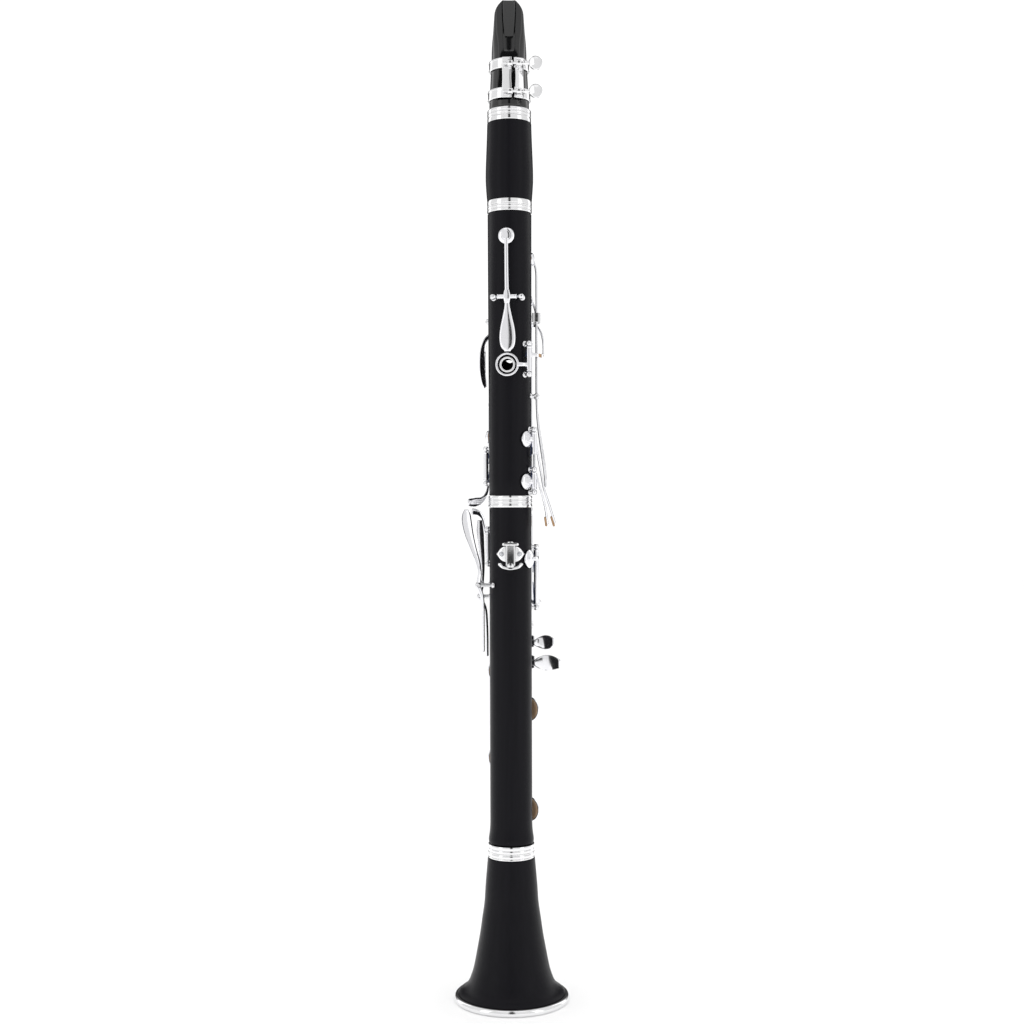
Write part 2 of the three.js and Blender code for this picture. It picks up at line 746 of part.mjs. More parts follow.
const throatARod = { deg: 93, radius: 17.6, z: 461, half: 5.2 };
addPart("throat_a_rod", crossRod(throatARod.deg, throatARod.radius, throatARod.z,
  throatARod.half, 14.4), "steel");
addRocker(
  "throat_a_key",
  throatARod,
  2.9,
  closedCup(PADS.throat_a),
  lever([
    [16.4, 93, 477, 2.6],
    [17.7, 93, 472, 2.6],
    [18, 93, 461, 2.8],
    [18.2, 95, 452, 3],
    [18.2, 100, 446.5, 6.5],
    [17.9, 101.5, 441, 6.5],
    [17.6, 102, 438.6, 3.5],
  ]),
);

const throatGsRod = { deg: 128, radius: 17.6, z: 452, half: 4.6 };
addPart("throat_gs_rod", crossRod(throatGsRod.deg, throatGsRod.radius, throatGsRod.z,
  throatGsRod.half, 14.4), "steel");
addRocker(
  "throat_gs_key",
  throatGsRod,
  2.5,
  closedCup(PADS.throat_gs),
  lever([
    [16.6, 125, 469, 2.6],
    [17.8, 126, 463, 2.6],
    [18, 128, 452, 2.8],
    [18.4, 137, 443.5, 3.2],
    [18.7, 152, 438, 5],
    [18.7, 163, 430, 7],
    [18.4, 167, 420, 7.4],
    [18, 164, 412, 6],
    [17.8, 158, 408, 3],
  ]),
);

// The two trill levers rock on one rod that crosses the right hand side.
const TRILL = { x: 17.6, z: 401, low: -3.9, high: 9.3, posts: [-3, 8.3] };
const acrossY = (x, y, z) => new THREE.Vector3(x, y, z);
const trillRod = [
  pin(acrossY(TRILL.x, TRILL.low, TRILL.z), acrossY(TRILL.x, TRILL.high, TRILL.z), ROD),
];
for (const y of TRILL.posts) {
  trillRod.push(pin(acrossY(footOf(14.3, y), y, TRILL.z), acrossY(TRILL.x, y, TRILL.z), POST));
  trillRod.push(pin(acrossY(TRILL.x, y - 1, TRILL.z), acrossY(TRILL.x, y + 1, TRILL.z), KNOB));
}
addPart("trill_key_rod", fuse(...trillRod), "steel");

const outwardX = new THREE.Vector3(1, 0, 0);

// A trill lever: its pad, its path of [x, y, z, width] and the ends of its sleeve.
function addTrill(name, pad, path, sleeve) {
  const ends = sleeve.map((y) => acrossY(TRILL.x, y, TRILL.z));
  const longEnds = [acrossY(TRILL.x, -9, TRILL.z), acrossY(TRILL.x, 15, TRILL.z)];
  const strip = path.map(([x, y, z, wide]) => [acrossY(x, y, z), wide, ARM_THICK]);
  const body = fuse(closedCup(pad), bar(strip, outwardX), pin(...ends, TUBE, TUBE_SIDES));
  addPart(name, cut(body, pin(...longEnds, TUBE_BORE, TUBE_SIDES)), "silver");
}
addTrill("side_key_4", PADS.side_4, [
  [16.1, 0.8, 490, 2.4],
  [17.6, 0.6, 484, 2.4],
  [17.8, 0.6, 470, 2.4],
  [17.8, 0.6, 401, 2.6],
  [18.6, 0.4, 382, 3],
  [20.6, 1, 366, 5],
  [22.6, 1.8, 352, 5],
  [23.6, 2, 341, 4],
], [-1.2, 2.4]);
addTrill("side_key_3", PADS.side_3, [
  [14.8, 7.4, 464.5, 2.4],
  [17, 6.2, 459, 2.4],
  [17.7, 5.2, 448, 2.4],
  [17.7, 5.2, 401, 2.6],
  [18.8, 6, 384, 3],
  [21, 7.6, 369, 5],
  [23, 8.4, 356, 5.4],
  [23.8, 8.6, 346, 4],
], [3.2, 6.8]);

addPart("side_key_guide", fuse(
  block([14.9, -2.4, 450], [15.9, 8.5, 456.5]),
  block([14.9, -2.4, 450], [20.6, -1.4, 456.5]),
  block([14.9, 2.5, 450], [20.6, 3.4, 456.5]),
  block([14.9, 7.6, 450], [20.6, 8.5, 456.5]),
), "silver");

const sideLine = hinge(-25, 335.8, 380.2);
addPart("side_key_rod", rodWithPosts(sideLine, [336.9, 352, 378.6], 14.2), "steel");

// A lower side lever's path of [x, y, z, width].
function sidePath(path) {
  return bar(path.map(([x, y, z, wide]) => [acrossY(x, y, z), wide, ARM_THICK]), outwardX);
}
addKey(
  "side_key_2",
  sideLine,
  tube(sideLine, 362, 376.6),
  closedCup(PADS.side_2),
  arm([[17.5, -25, PADS.side_2.z], [16.2, -36, PADS.side_2.z]], 3),
  sidePath([
    [17, -6.6, 371, 2.6],
    [18.6, -5.6, 360, 3],
    [20.4, -4.6, 350, 3.6],
    [22.4, -3.8, 339, 4.4],
    [26, -1.6, 328, 5],
    [29.4, 0.6, 317, 4.4],
  ]),
);
addKey(
  "side_key_1",
  sideLine,
  tube(sideLine, 339, 350),
  closedCup(PADS.side_1),
  arm([[17.5, -25, PADS.side_1.z], [16.2, -36, PADS.side_1.z]], 3),
  sidePath([
    [17.2, -7.4, 349, 2.8],
    [19, -8, 342, 3.2],
    [21.4, -7.4, 334, 4.2],
    [23.4, -5.8, 325, 5],
    [24.6, -4.4, 316, 4.4],
  ]),
);

const sliverLine = hinge(138, 367.2, 397.8);
addPart("sliver_eb_rod", rodWithPosts(sliverLine, [369, 396], 14.3), "steel");
addKey(
  "sliver_eb_key",
  sliverLine,
  tube(sliverLine, 371.1, 393.9),
  closedCup(PADS.sliver_eb),
  arm([[17.5, 138, 375], [17.6, 152, 374.4], [16, 163, 374]]),
  lever([[17.5, 138, 387, 3], [18.4, 126, 387, 4], [18.2, 114, 387, 7], [17.7, 105, 387, 5]]),
);

const csLine = hinge(158, 341.2, 368);
addPart("cs_gs_rod", rodWithPosts(csLine, [343, 366.2], 14.2), "steel");
addKey(
  "cs_gs_key",
  csLine,
  tube(csLine, 345.2, 364),
  closedCup(PADS.cs_gs),
  arm([[17.5, 158, 357], [18.4, 145, 357], [17.2, 133, 357], [15.8, 125, 357]]),
  bar([
    [acrossY(-15.4, 8.8, 350), 3, 1.6],
    [acrossY(-14.8, 10.8, 343), 3.4, 1.6],
    [acrossY(-15.8, 11, 336.5), 4, 1.6],
    [acrossY(-18.8, 8.4, 332), 5, 1.6],
    [acrossY(-23.5, 3.4, 330.6), 6, 1.6],
    [acrossY(-27.6, 0, 330.4), 5, 1.6],
  ]),
);

// ---------------------------------------------------------------- keys of the lower joint

const lowerFront = hinge(40, 245.5, 327);
addPart("lower_ring_rod", rodWithPosts(lowerFront, [247.2, 325.4]), "steel");
const RING_PRESS = 5.5;
addKey(
  "lower_ring_key",
  lowerFront,
  tube(lowerFront, 249.4, 322.8),
  fingerRing(FRONT, HOLES[3].z),
  fingerRing(FRONT, HOLES[4].z),
  fingerRing(FRONT, HOLES[5].z),
  ringArm(HOLES[3].z),
  ringArm(HOLES[4].z),
  ringArm(HOLES[5].z),
  swung(closedCup(PADS.ring_vent), lowerFront, -RING_PRESS),
  arm([[17.5, 40, 315], [18.4, 52, 315], [17.8, 66, 316]]),
  arm([[17.5, 40, 321.4], [18.4, 52, 322.8], [17.9, 59, 327], [17.5, 61, 334],
    [17.4, 62, 342.5]]),
);

const sliverBLine = hinge(12, 258.4, 302.6);
addPart("sliver_b_rod", rodWithPosts(sliverBLine, [260.2, 300.8]), "steel");
addKey(
  "sliver_b_key",
  sliverBLine,
  tube(sliverBLine, 262.3, 298.7),
  closedCup(PADS.sliver_b),
  arm([[17.5, 12, 293], [18.2, 2, 293], [17.4, -10, 293], [16, -22, 293]]),
  lever([
    [17.5, 12, 264, 3],
    [20.8, 20, 263.6, 3],
    [21.8, 32, 263, 3],
    [21.6, 46, 263, 3.2],
    [19.9, 58, 263, 4.4],
    [18.4, 68, 263, 4.6],
    [17.8, 74, 263, 3.4],
  ], 1.3),
);

// The two long rods under the right little finger.
const FRONT_ROD = 17.4;
const rightLine = hinge(76, 112.4, 230.8, FRONT_ROD);
const leftLine = hinge(104, 151, 242, FRONT_ROD);
addPart("right_long_rod", rodWithPosts(rightLine, [114, 186, 229.2]), "steel");
addPart("left_long_rod", rodWithPosts(leftLine, [152.6, 202, 240.4]), "steel");

const STRAP = 20.5;
const OPEN_SWING = 13;

// The arm from one of the long rods to its pad.
function padArm(deg, pad, z = pad.z) {
  const step = (pad.deg - deg) / 8;
  return arm([
    [FRONT_ROD, deg, z],
    [18.4, deg + step * 2.4, z],
    [17.2, deg + step * 5, z],
    [15.4, deg + step * 7.2, z],
  ], 3);
}

addKey(
  "rh_e_b_key",
  rightLine,
  tube(rightLine, 116.2, 183.8),
  swung(closedCup(PADS.e_b), rightLine, OPEN_SWING),
  swung(padArm(76, PADS.e_b), rightLine, OPEN_SWING),
  arm([[FRONT_ROD, 76, 180], [STRAP, 76, 183.2], [STRAP, 76, 222]], 2.4, 1.3),
  bar([
    [acrossY(4.2, 20.3, 222.3), 10, 1.4],
    [acrossY(8, 20.4, 222.3), 10.4, 1.4],
    [acrossY(12, 19.6, 222.3), 10.2, 1.4],
    [acrossY(15.6, 17.9, 222.3), 8.6, 1.4],
  ]),
);
addKey(
  "rh_f_c_key",
  rightLine,
  tube(rightLine, 188.2, 226.8),
  swung(closedCup(PADS.f_c), rightLine, OPEN_SWING),
  swung(padArm(76, PADS.f_c), rightLine, OPEN_SWING),
  bar([
    [acrossY(5.6, 17.3, 222.3), 3, 1.4],
    [acrossY(10, 15.3, 222.3), 3.2, 1.4],
    [acrossY(15, 12.6, 222.3), 3.6, 1.4],
    [acrossY(18.6, 12.4, 222.3), 8, 1.5],
    [acrossY(23, 12.2, 222.3), 10.4, 1.5],
    [acrossY(28, 10.6, 222.3), 9.4, 1.5],
    [acrossY(33, 7.6, 222), 6, 1.5],
  ]),
);
addKey(
  "rh_fs_cs_key",
  leftLine,
  tube(leftLine, 154.8, 199.8),
  closedCup(PADS.fs_cs),
  padArm(104, PADS.fs_cs),
  arm([[FRONT_ROD, 104, 196], [STRAP, 104, 199.2], [STRAP, 104, 236.3]], 2.4, 1.3),
  bar([
    [acrossY(-5, 20.3, 236.3), 9.4, 1.4],
    [acrossY(0, 21.1, 236.3), 9.8, 1.4],
    [acrossY(5, 21, 236.3), 9.8, 1.4],
    [acrossY(10.5, 19.8, 236.3), 9.4, 1.4],
    [acrossY(15.6, 17.4, 236.3), 8, 1.4],
  ]),
);
addKey(
  "rh_gs_ds_key",
  leftLine,
  tube(leftLine, 204.2, 237.8),
  closedCup(PADS.gs_ds),
  padArm(104, PADS.gs_ds),
  bar([
    [acrossY(-3, 17.9, 236), 2.8, 1.4],
    [acrossY(4, 16.9, 236), 2.8, 1.4],
    [acrossY(10, 14.5, 236), 3, 1.4],
    [acrossY(15, 11.6, 236), 3.4, 1.4],
    [acrossY(18.6, 11.6, 236), 7, 1.5],
    [acrossY(22.5, 11, 236.2), 9.4, 1.5],
    [acrossY(26, 9.4, 236.4), 8.4, 1.5],
    [acrossY(28.6, 7.8, 236.6), 5, 1.5],
  ]),
);

// The left little finger levers rock on rods that cross the left hand side.
const leftFace = new THREE.Vector3(-0.4, 0.92, 0);
const LEFT_LEVERS = {
  e_b: {
    x: -21.5,
    z: 275.6,
    posts: [-8.6, -0.3],
    sleeve: [-7, -1.9],
    path: [
      [-18.2, -3.2, 232, 2.2],
      [-18.4, -3.4, 250, 2.4],
      [-18.8, -4, 267, 2.6],
      [-21.5, -4.4, 275.6, 3],
      [-20.6, -4.4, 283, 3],
      [-21.8, -4.4, 291, 3.6],
      [-24.8, -4.2, 300, 4.8],
      [-27.4, -4, 309, 6.4],
      [-28.9, -3.8, 317, 7.2],
      [-29.3, -3.7, 322.4, 6.2],
      [-29.3, -3.7, 325.2, 3.4],
    ],
  },
  fs_cs: {
    x: -20.5,
    z: 267.6,
    posts: [1.4, 8.6],
    sleeve: [3, 7],
    path: [
      [-15.8, 6.6, 228, 2],
      [-16, 6.4, 245, 2.2],
      [-17, 5.6, 259, 2.4],
      [-20.5, 4.8, 267.6, 2.8],
      [-19.6, 4.4, 276, 2.8],
      [-18.8, 4, 288, 3.4],
      [-19.6, 3.8, 300, 4.6],
      [-20.3, 3.7, 310, 5.4],
      [-20.6, 3.7, 318, 3.6],
    ],
  },
};
for (const [name, key] of Object.entries(LEFT_LEVERS)) {
  const onRod = (y) => acrossY(key.x, y, key.z);
  const [near, far] = key.posts;
  const rod = [pin(onRod(near - 1), onRod(far + 1), ROD)];
  for (const y of key.posts) {
    rod.push(pin(acrossY(-footOf(BODY, y), y, key.z), onRod(y), POST));
    rod.push(pin(onRod(y - 1), onRod(y + 1), KNOB));
  }
  addPart(`lh_${name}_rod`, fuse(...rod), "steel");
  const strip = key.path.map(([x, y, z, wide]) => [acrossY(x, y, z), wide, ARM_THICK]);
  const [low, high] = key.sleeve;
  const body = fuse(bar(strip, leftFace), pin(onRod(low), onRod(high), TUBE, TUBE_SIDES));
  const hole = pin(onRod(near - 4), onRod(far + 4), TUBE_BORE, TUBE_SIDES);
  addPart(`lh_${name}_lever`, cut(body, hole), "silver");
}

const lhLine = hinge(150, 287.2, 314.4);
addPart("lh_f_c_rod", rodWithPosts(lhLine, [289, 312.6]), "steel");
addKey(
  "lh_f_c_lever",
  lhLine,
  tube(lhLine, 291.2, 310.4),
  bar([
    [acrossY(-15.4, 10.2, 305), 2.6, 1.4],
    [acrossY(-17.4, 10.8, 313), 2.6, 1.4],
    [acrossY(-18.8, 8.8, 320), 3.4, 1.4],
    [acrossY(-21.6, 5.6, 323.6), 4, 1.4],
    [acrossY(-25.4, 2.6, 324.4), 4, 1.4],
  ]),
  arm([[17.5, 150, 294], [18.2, 138, 292.5], [17.6, 128, 291]], 2.6),
);

export default group;
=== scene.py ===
"""Looks of a B-flat clarinet with 17 keys and 6 rings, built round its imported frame.

Shapes are worked out in millimetres in the frame's own axes: +Z runs up the bore, the thumb
side faces -Y, the finger holes face +Y and the player's right hand side is +X. Angles go
round the bore in degrees from +X, counter-clockwise seen from above.
"""
import logging
import math
from dataclasses import dataclass
from enum import Enum
from typing import Sequence

import bmesh
import bpy
from mathutils import Matrix, Vector


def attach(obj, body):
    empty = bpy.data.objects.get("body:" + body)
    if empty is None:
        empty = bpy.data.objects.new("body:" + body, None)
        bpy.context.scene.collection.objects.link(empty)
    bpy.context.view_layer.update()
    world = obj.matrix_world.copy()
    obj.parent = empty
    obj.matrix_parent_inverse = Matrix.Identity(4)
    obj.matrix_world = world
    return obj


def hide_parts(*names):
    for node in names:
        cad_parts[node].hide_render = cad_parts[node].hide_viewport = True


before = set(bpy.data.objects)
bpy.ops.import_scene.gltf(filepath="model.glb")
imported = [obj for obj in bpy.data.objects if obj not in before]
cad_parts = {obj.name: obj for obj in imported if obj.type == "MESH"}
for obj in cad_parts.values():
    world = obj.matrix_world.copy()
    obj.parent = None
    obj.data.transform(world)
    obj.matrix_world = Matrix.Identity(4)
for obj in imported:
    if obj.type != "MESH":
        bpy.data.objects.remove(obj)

LOG = logging.getLogger("clarinet")
MM = 0.001
MERGE = 1e-7
SHARP = math.radians(38)
Station = tuple[float, ...]
Profile = list[tuple[float, float]]


class Body(Enum):
    """The moving bodies that carry more than their own key."""

    BELL = "bell"
    LOWER = "lower_joint"
    UPPER = "upper_joint"
    BARREL = "barrel"
    MOUTH = "mouthpiece"


# ------------------------------------------------------------------ node groups and finishes


def new_group(name: str, inputs: dict[str, float], outputs: Sequence[str]) -> bpy.types.NodeTree:
    """Starts a shader node group.

    Args:
        name: The group's name.
        inputs: Each number input with its usual value. "Vector" is added first.
        outputs: The names of the number outputs.

    Returns:
        The node tree with its input and output nodes in place.
    """
    tree = bpy.data.node_groups.new(name, "ShaderNodeTree")
    tree.interface.new_socket("Vector", in_out="INPUT", socket_type="NodeSocketVector")
    for label, value in inputs.items():
        socket = tree.interface.new_socket(label, in_out="INPUT", socket_type="NodeSocketFloat")
        socket.default_value = value
    for label in outputs:
        tree.interface.new_socket(label, in_out="OUTPUT", socket_type="NodeSocketFloat")
    tree.nodes.new("NodeGroupInput").name = "in"
    tree.nodes.new("NodeGroupOutput").name = "out"
    return tree


def math_node(tree: bpy.types.NodeTree, kind: str, first: object, second: object) -> object:
    """Adds a Math node.

    Args:
        tree: The tree that gets it.
        kind: The operation, such as "MULTIPLY".
        first: A socket or a number.
        second: A socket or a number.

    Returns:
        The node's output socket.
    """
    node = tree.nodes.new("ShaderNodeMath")
    node.operation = kind
    for socket, value in zip(node.inputs, (first, second)):
        if isinstance(value, (int, float)):
            socket.default_value = value
        else:
            tree.links.new(value, socket)
    return node.outputs[0]


def noise_node(tree: bpy.types.NodeTree, vector: object, scale: object, detail: float) -> object:
    """Adds a Noise texture and returns its Factor output."""
    node = tree.nodes.new("ShaderNodeTexNoise")
    node.inputs["Detail"].default_value = detail
    if isinstance(scale, (int, float)):
        node.inputs["Scale"].default_value = scale
    else:
        tree.links.new(scale, node.inputs["Scale"])
    tree.links.new(vector, node.inputs["Vector"])
    return node.outputs["Fac"]


def stretch_node(tree: bpy.types.NodeTree, vector: object, factors: tuple) -> object:
    """Adds a Mapping node that scales a vector and returns its output."""
    node = tree.nodes.new("ShaderNodeMapping")
    node.inputs["Scale"].default_value = factors
    tree.links.new(vector, node.inputs["Vector"])
    return node.outputs["Vector"]


def make_polish_group() -> bpy.types.NodeTree:
    """Makes the group for polished surfaces: slow drift, hairline scratches and fine waviness."""
    tree = new_group("polish_marks", {"Drift Scale": 60.0, "Scratch Scale": 900.0},
                     ["Drift", "Scratch"])
    source = tree.nodes["in"]
    drift = noise_node(tree, source.outputs["Vector"], source.outputs["Drift Scale"], 4.0)
    along = stretch_node(tree, source.outputs["Vector"], (1.0, 1.0, 0.06))
    scratch = noise_node(tree, along, source.outputs["Scratch Scale"], 2.0)
    tree.links.new(drift, tree.nodes["out"].inputs["Drift"])
    tree.links.new(scratch, tree.nodes["out"].inputs["Scratch"])
    return tree


def make_grain_group() -> bpy.types.NodeTree:
    """Makes the group for wood and cork: long grain, short pores and a slow tone."""
    tree = new_group(
        "long_grain",
        {"Grain Scale": 500.0, "Pore Scale": 2600.0, "Tone Scale": 30.0},
        ["Grain", "Pores", "Tone"],
    )
    source = tree.nodes["in"]
    along = stretch_node(tree, source.outputs["Vector"], (1.0, 1.0, 0.035))
    short = stretch_node(tree, source.outputs["Vector"], (1.0, 1.0, 0.12))
    grain = noise_node(tree, along, source.outputs["Grain Scale"], 5.0)
    pores = noise_node(tree, short, source.outputs["Pore Scale"], 1.5)
    dark = math_node(tree, "GREATER_THAN", pores, 0.63)
    tone = noise_node(tree, along, source.outputs["Tone Scale"], 2.0)
    tree.links.new(grain, tree.nodes["out"].inputs["Grain"])
    tree.links.new(dark, tree.nodes["out"].inputs["Pores"])
    tree.links.new(tone, tree.nodes["out"].inputs["Tone"])
    return tree


@dataclass(frozen=True)
class Finish:
    """A procedural finish.

    Attributes:
        name: The material's name.
        slot: The material slot's name. Not used.
        dark: The darkest base colour.
        light: The lightest base colour.
        metallic: 0 or 1.
        rough: The lowest and the highest roughness.
        bump: The height of the fine relief, in millimetres.
        coat: The weight of the clear coat.
        gloss: The specular level.
        grained: Whether the grain group is used, rather than the polish group.
        scales: The two scales of the group's coarse and fine patterns.
    """

    name: str
    slot: str
    dark: tuple[float, float, float]
    light: tuple[float, float, float]
    metallic: float
    rough: tuple[float, float]
    bump: float
    coat: float = 0.0
    gloss: float = 0.5
    grained: bool = False
    scales: tuple[float, float] = (60.0, 900.0)

    def material(self) -> bpy.types.Material:
        """Returns this finish's material, made the first time it is asked for."""
        known = bpy.data.materials.get(self.name)
        return known or self.make()

    def make(self) -> bpy.types.Material:
        """Builds the node tree.

        Returns:
            The new material.
        """
        material = bpy.data.materials.new(self.name)
        material.use_nodes = True
        tree = material.node_tree
        shader = tree.nodes["Principled BSDF"]
        shader.inputs["Metallic"].default_value = self.metallic
        shader.inputs["Coat Weight"].default_value = self.coat
        shader.inputs["Coat Roughness"].default_value = 0.06
        shader.inputs["Specular IOR Level"].default_value = self.gloss
        place = tree.nodes.new("ShaderNodeTexCoord").outputs["Object"]
        group = tree.nodes.new("ShaderNodeGroup")
        group.node_tree = GROUPS["grain" if self.grained else "polish"]
        tree.links.new(place, group.inputs["Vector"])
        group.inputs[1].default_value = self.scales[0]
        group.inputs[2].default_value = self.scales[1]
        mix = tree.nodes.new("ShaderNodeMix")
        mix.data_type = "RGBA"
        mix.inputs["A"].default_value = (*self.dark, 1)
        mix.inputs["B"].default_value = (*self.light, 1)
        tree.links.new(group.outputs[0], mix.inputs["Factor"])
        rough = tree.nodes.new("ShaderNodeMapRange")
        rough.inputs["To Min"].default_value = self.rough[0]
        rough.inputs["To Max"].default_value = self.rough[1]
        rough.inputs["From Min"].default_value = 0.3
        rough.inputs["From Max"].default_value = 0.7
        tree.links.new(group.outputs["Tone" if self.grained else "Drift"], rough.inputs["Value"])
        tree.links.new(rough.outputs["Result"], shader.inputs["Roughness"])
        bump = tree.nodes.new("ShaderNodeBump")
        bump.inputs["Distance"].default_value = self.bump * MM
        height = group.outputs[0]
        colour = mix.outputs["Result"]
        if self.grained:
            pores = math_node(tree, "MULTIPLY", group.outputs["Pores"], -0.8)
            height = math_node(tree, "ADD", height, pores)
        else:
            scratch = math_node(tree, "MULTIPLY", group.outputs["Scratch"], 0.25)
            height = math_node(tree, "ADD", height, scratch)
        tree.links.new(height, bump.inputs["Height"])
        tree.links.new(bump.outputs["Normal"], shader.inputs["Normal"])
        tree.links.new(colour, shader.inputs["Base Color"])
        return material


GROUPS = {"polish": make_polish_group(), "grain": make_grain_group()}

WOOD = Finish("black_wood", "wood", (0.0028, 0.0027, 0.0040), (0.0062, 0.0058, 0.0084), 0.0,
              (0.30, 0.42), 0.02, 0.0, 0.11, True, (520.0, 2600.0))
EBONITE = Finish("polished_ebonite", "ebonite", (0.003, 0.003, 0.0033), (0.006, 0.006, 0.0066),
                 0.0, (0.07, 0.12), 0.004, 0.3)
SILVER = Finish("silver_plate", "silver_fittings", (0.80, 0.80, 0.81), (0.93, 0.93, 0.935), 1.0,
                (0.07, 0.14), 0.004)
KEY_SILVER = Finish("key_silver", "key_silver", (0.80, 0.80, 0.81), (0.93, 0.93, 0.935), 1.0,
                    (0.06, 0.13), 0.004)
POST_SILVER = Finish("post_silver", "key_posts", (0.74, 0.74, 0.76), (0.90, 0.90, 0.91), 1.0,
                     (0.09, 0.18), 0.004)
STEEL = Finish("rod_steel", "key_posts", (0.42, 0.43, 0.45), (0.58, 0.59, 0.61), 1.0,
               (0.2, 0.32), 0.004)
BLUED = Finish("blued_spring", "springs", (0.05, 0.07, 0.14), (0.10, 0.13, 0.24), 1.0,
               (0.22, 0.34), 0.003)
CORK = Finish("key_cork", "cork", (0.30, 0.17, 0.085), (0.56, 0.36, 0.20), 0.0,
              (0.7, 0.9), 0.12, 0.0, 0.4, True, (1400.0, 3000.0))
PAD_SKIN = Finish("pad_skin", "key_pads", (0.30, 0.19, 0.115), (0.47, 0.33, 0.215), 0.0,
                  (0.42, 0.6), 0.05, 0.1, 0.5, False, (900.0, 2600.0))


# ------------------------------------------------------------------ shaping


def at(radius: float, deg: float, z: float) -> Vector:
    """Returns the point at a radius, an angle in degrees and a height."""
    turn = math.radians(deg)
    return Vector((radius * math.cos(turn), radius * math.sin(turn), z))


def facing(axis: Vector, origin: Vector) -> Matrix:
    """Returns the placement whose own Z points along an axis from an origin."""
    turn = Vector((0, 0, 1)).rotation_difference(axis.normalized())
    return Matrix.Translation(origin) @ turn.to_matrix().to_4x4()


def outward(deg: float, z: float) -> Matrix:
    """Returns the placement whose Z points away from the bore and whose Y points up it."""
    out = at(1, deg, 0)
    up = Vector((0, 0, 1))
    side = up.cross(out)
    turn = Matrix((side, up, out)).transposed().to_4x4()
    return Matrix.Translation((0, 0, z)) @ turn


def filleted(points: Profile, radius: float, steps: int = 4, closed: bool = False) -> Profile:
    """Rounds the corners of an outline.

    Args:
        points: The corners.
        radius: How far the rounding reaches from each corner.
        steps: How many pieces each rounded corner gets.
        closed: Whether the last corner joins the first.

    Returns:
        The outline with each corner replaced by a curve.
    """
    count = len(points)
    made: Profile = []
    for i, corner in enumerate(points):
        if not closed and i in (0, count - 1):
            made.append(corner)
            continue
        here = Vector(corner)
        before = Vector(points[i - 1])
        after = Vector(points[(i + 1) % count])
        reach = min(radius, (before - here).length * 0.45, (after - here).length * 0.45)
        start = here + (before - here).normalized() * reach
        end = here + (after - here).normalized() * reach
        for step in range(steps + 1):
            t = step / steps
            point = start * (1 - t) ** 2 + here * 2 * t * (1 - t) + end * t * t
            made.append((point.x, point.y))
    return made


def smooth_path(stations: Sequence[Station], steps: int = 6) -> list[Station]:
    """Runs a smooth curve through stations.

    Args:
        stations: Points with their other numbers, such as a width.
        steps: How many pieces each span gets.

    Returns:
        The finer stations, each with as many numbers as it had.
    """
    made: list[Station] = []
    last = len(stations) - 1
    for i in range(last):
        a = stations[max(i - 1, 0)]
        b, c = stations[i], stations[i + 1]
        d = stations[min(i + 2, last)]
        for step in range(steps):
            t = step / steps
            made.append(tuple(
                0.5 * (2 * q + (r - p) * t + (2 * p - 5 * q + 4 * r - s) * t * t
                       + (3 * q - p - 3 * r + s) * t ** 3)
                for p, q, r, s in zip(a, b, c, d)))
    made.append(tuple(stations[last]))
    return made


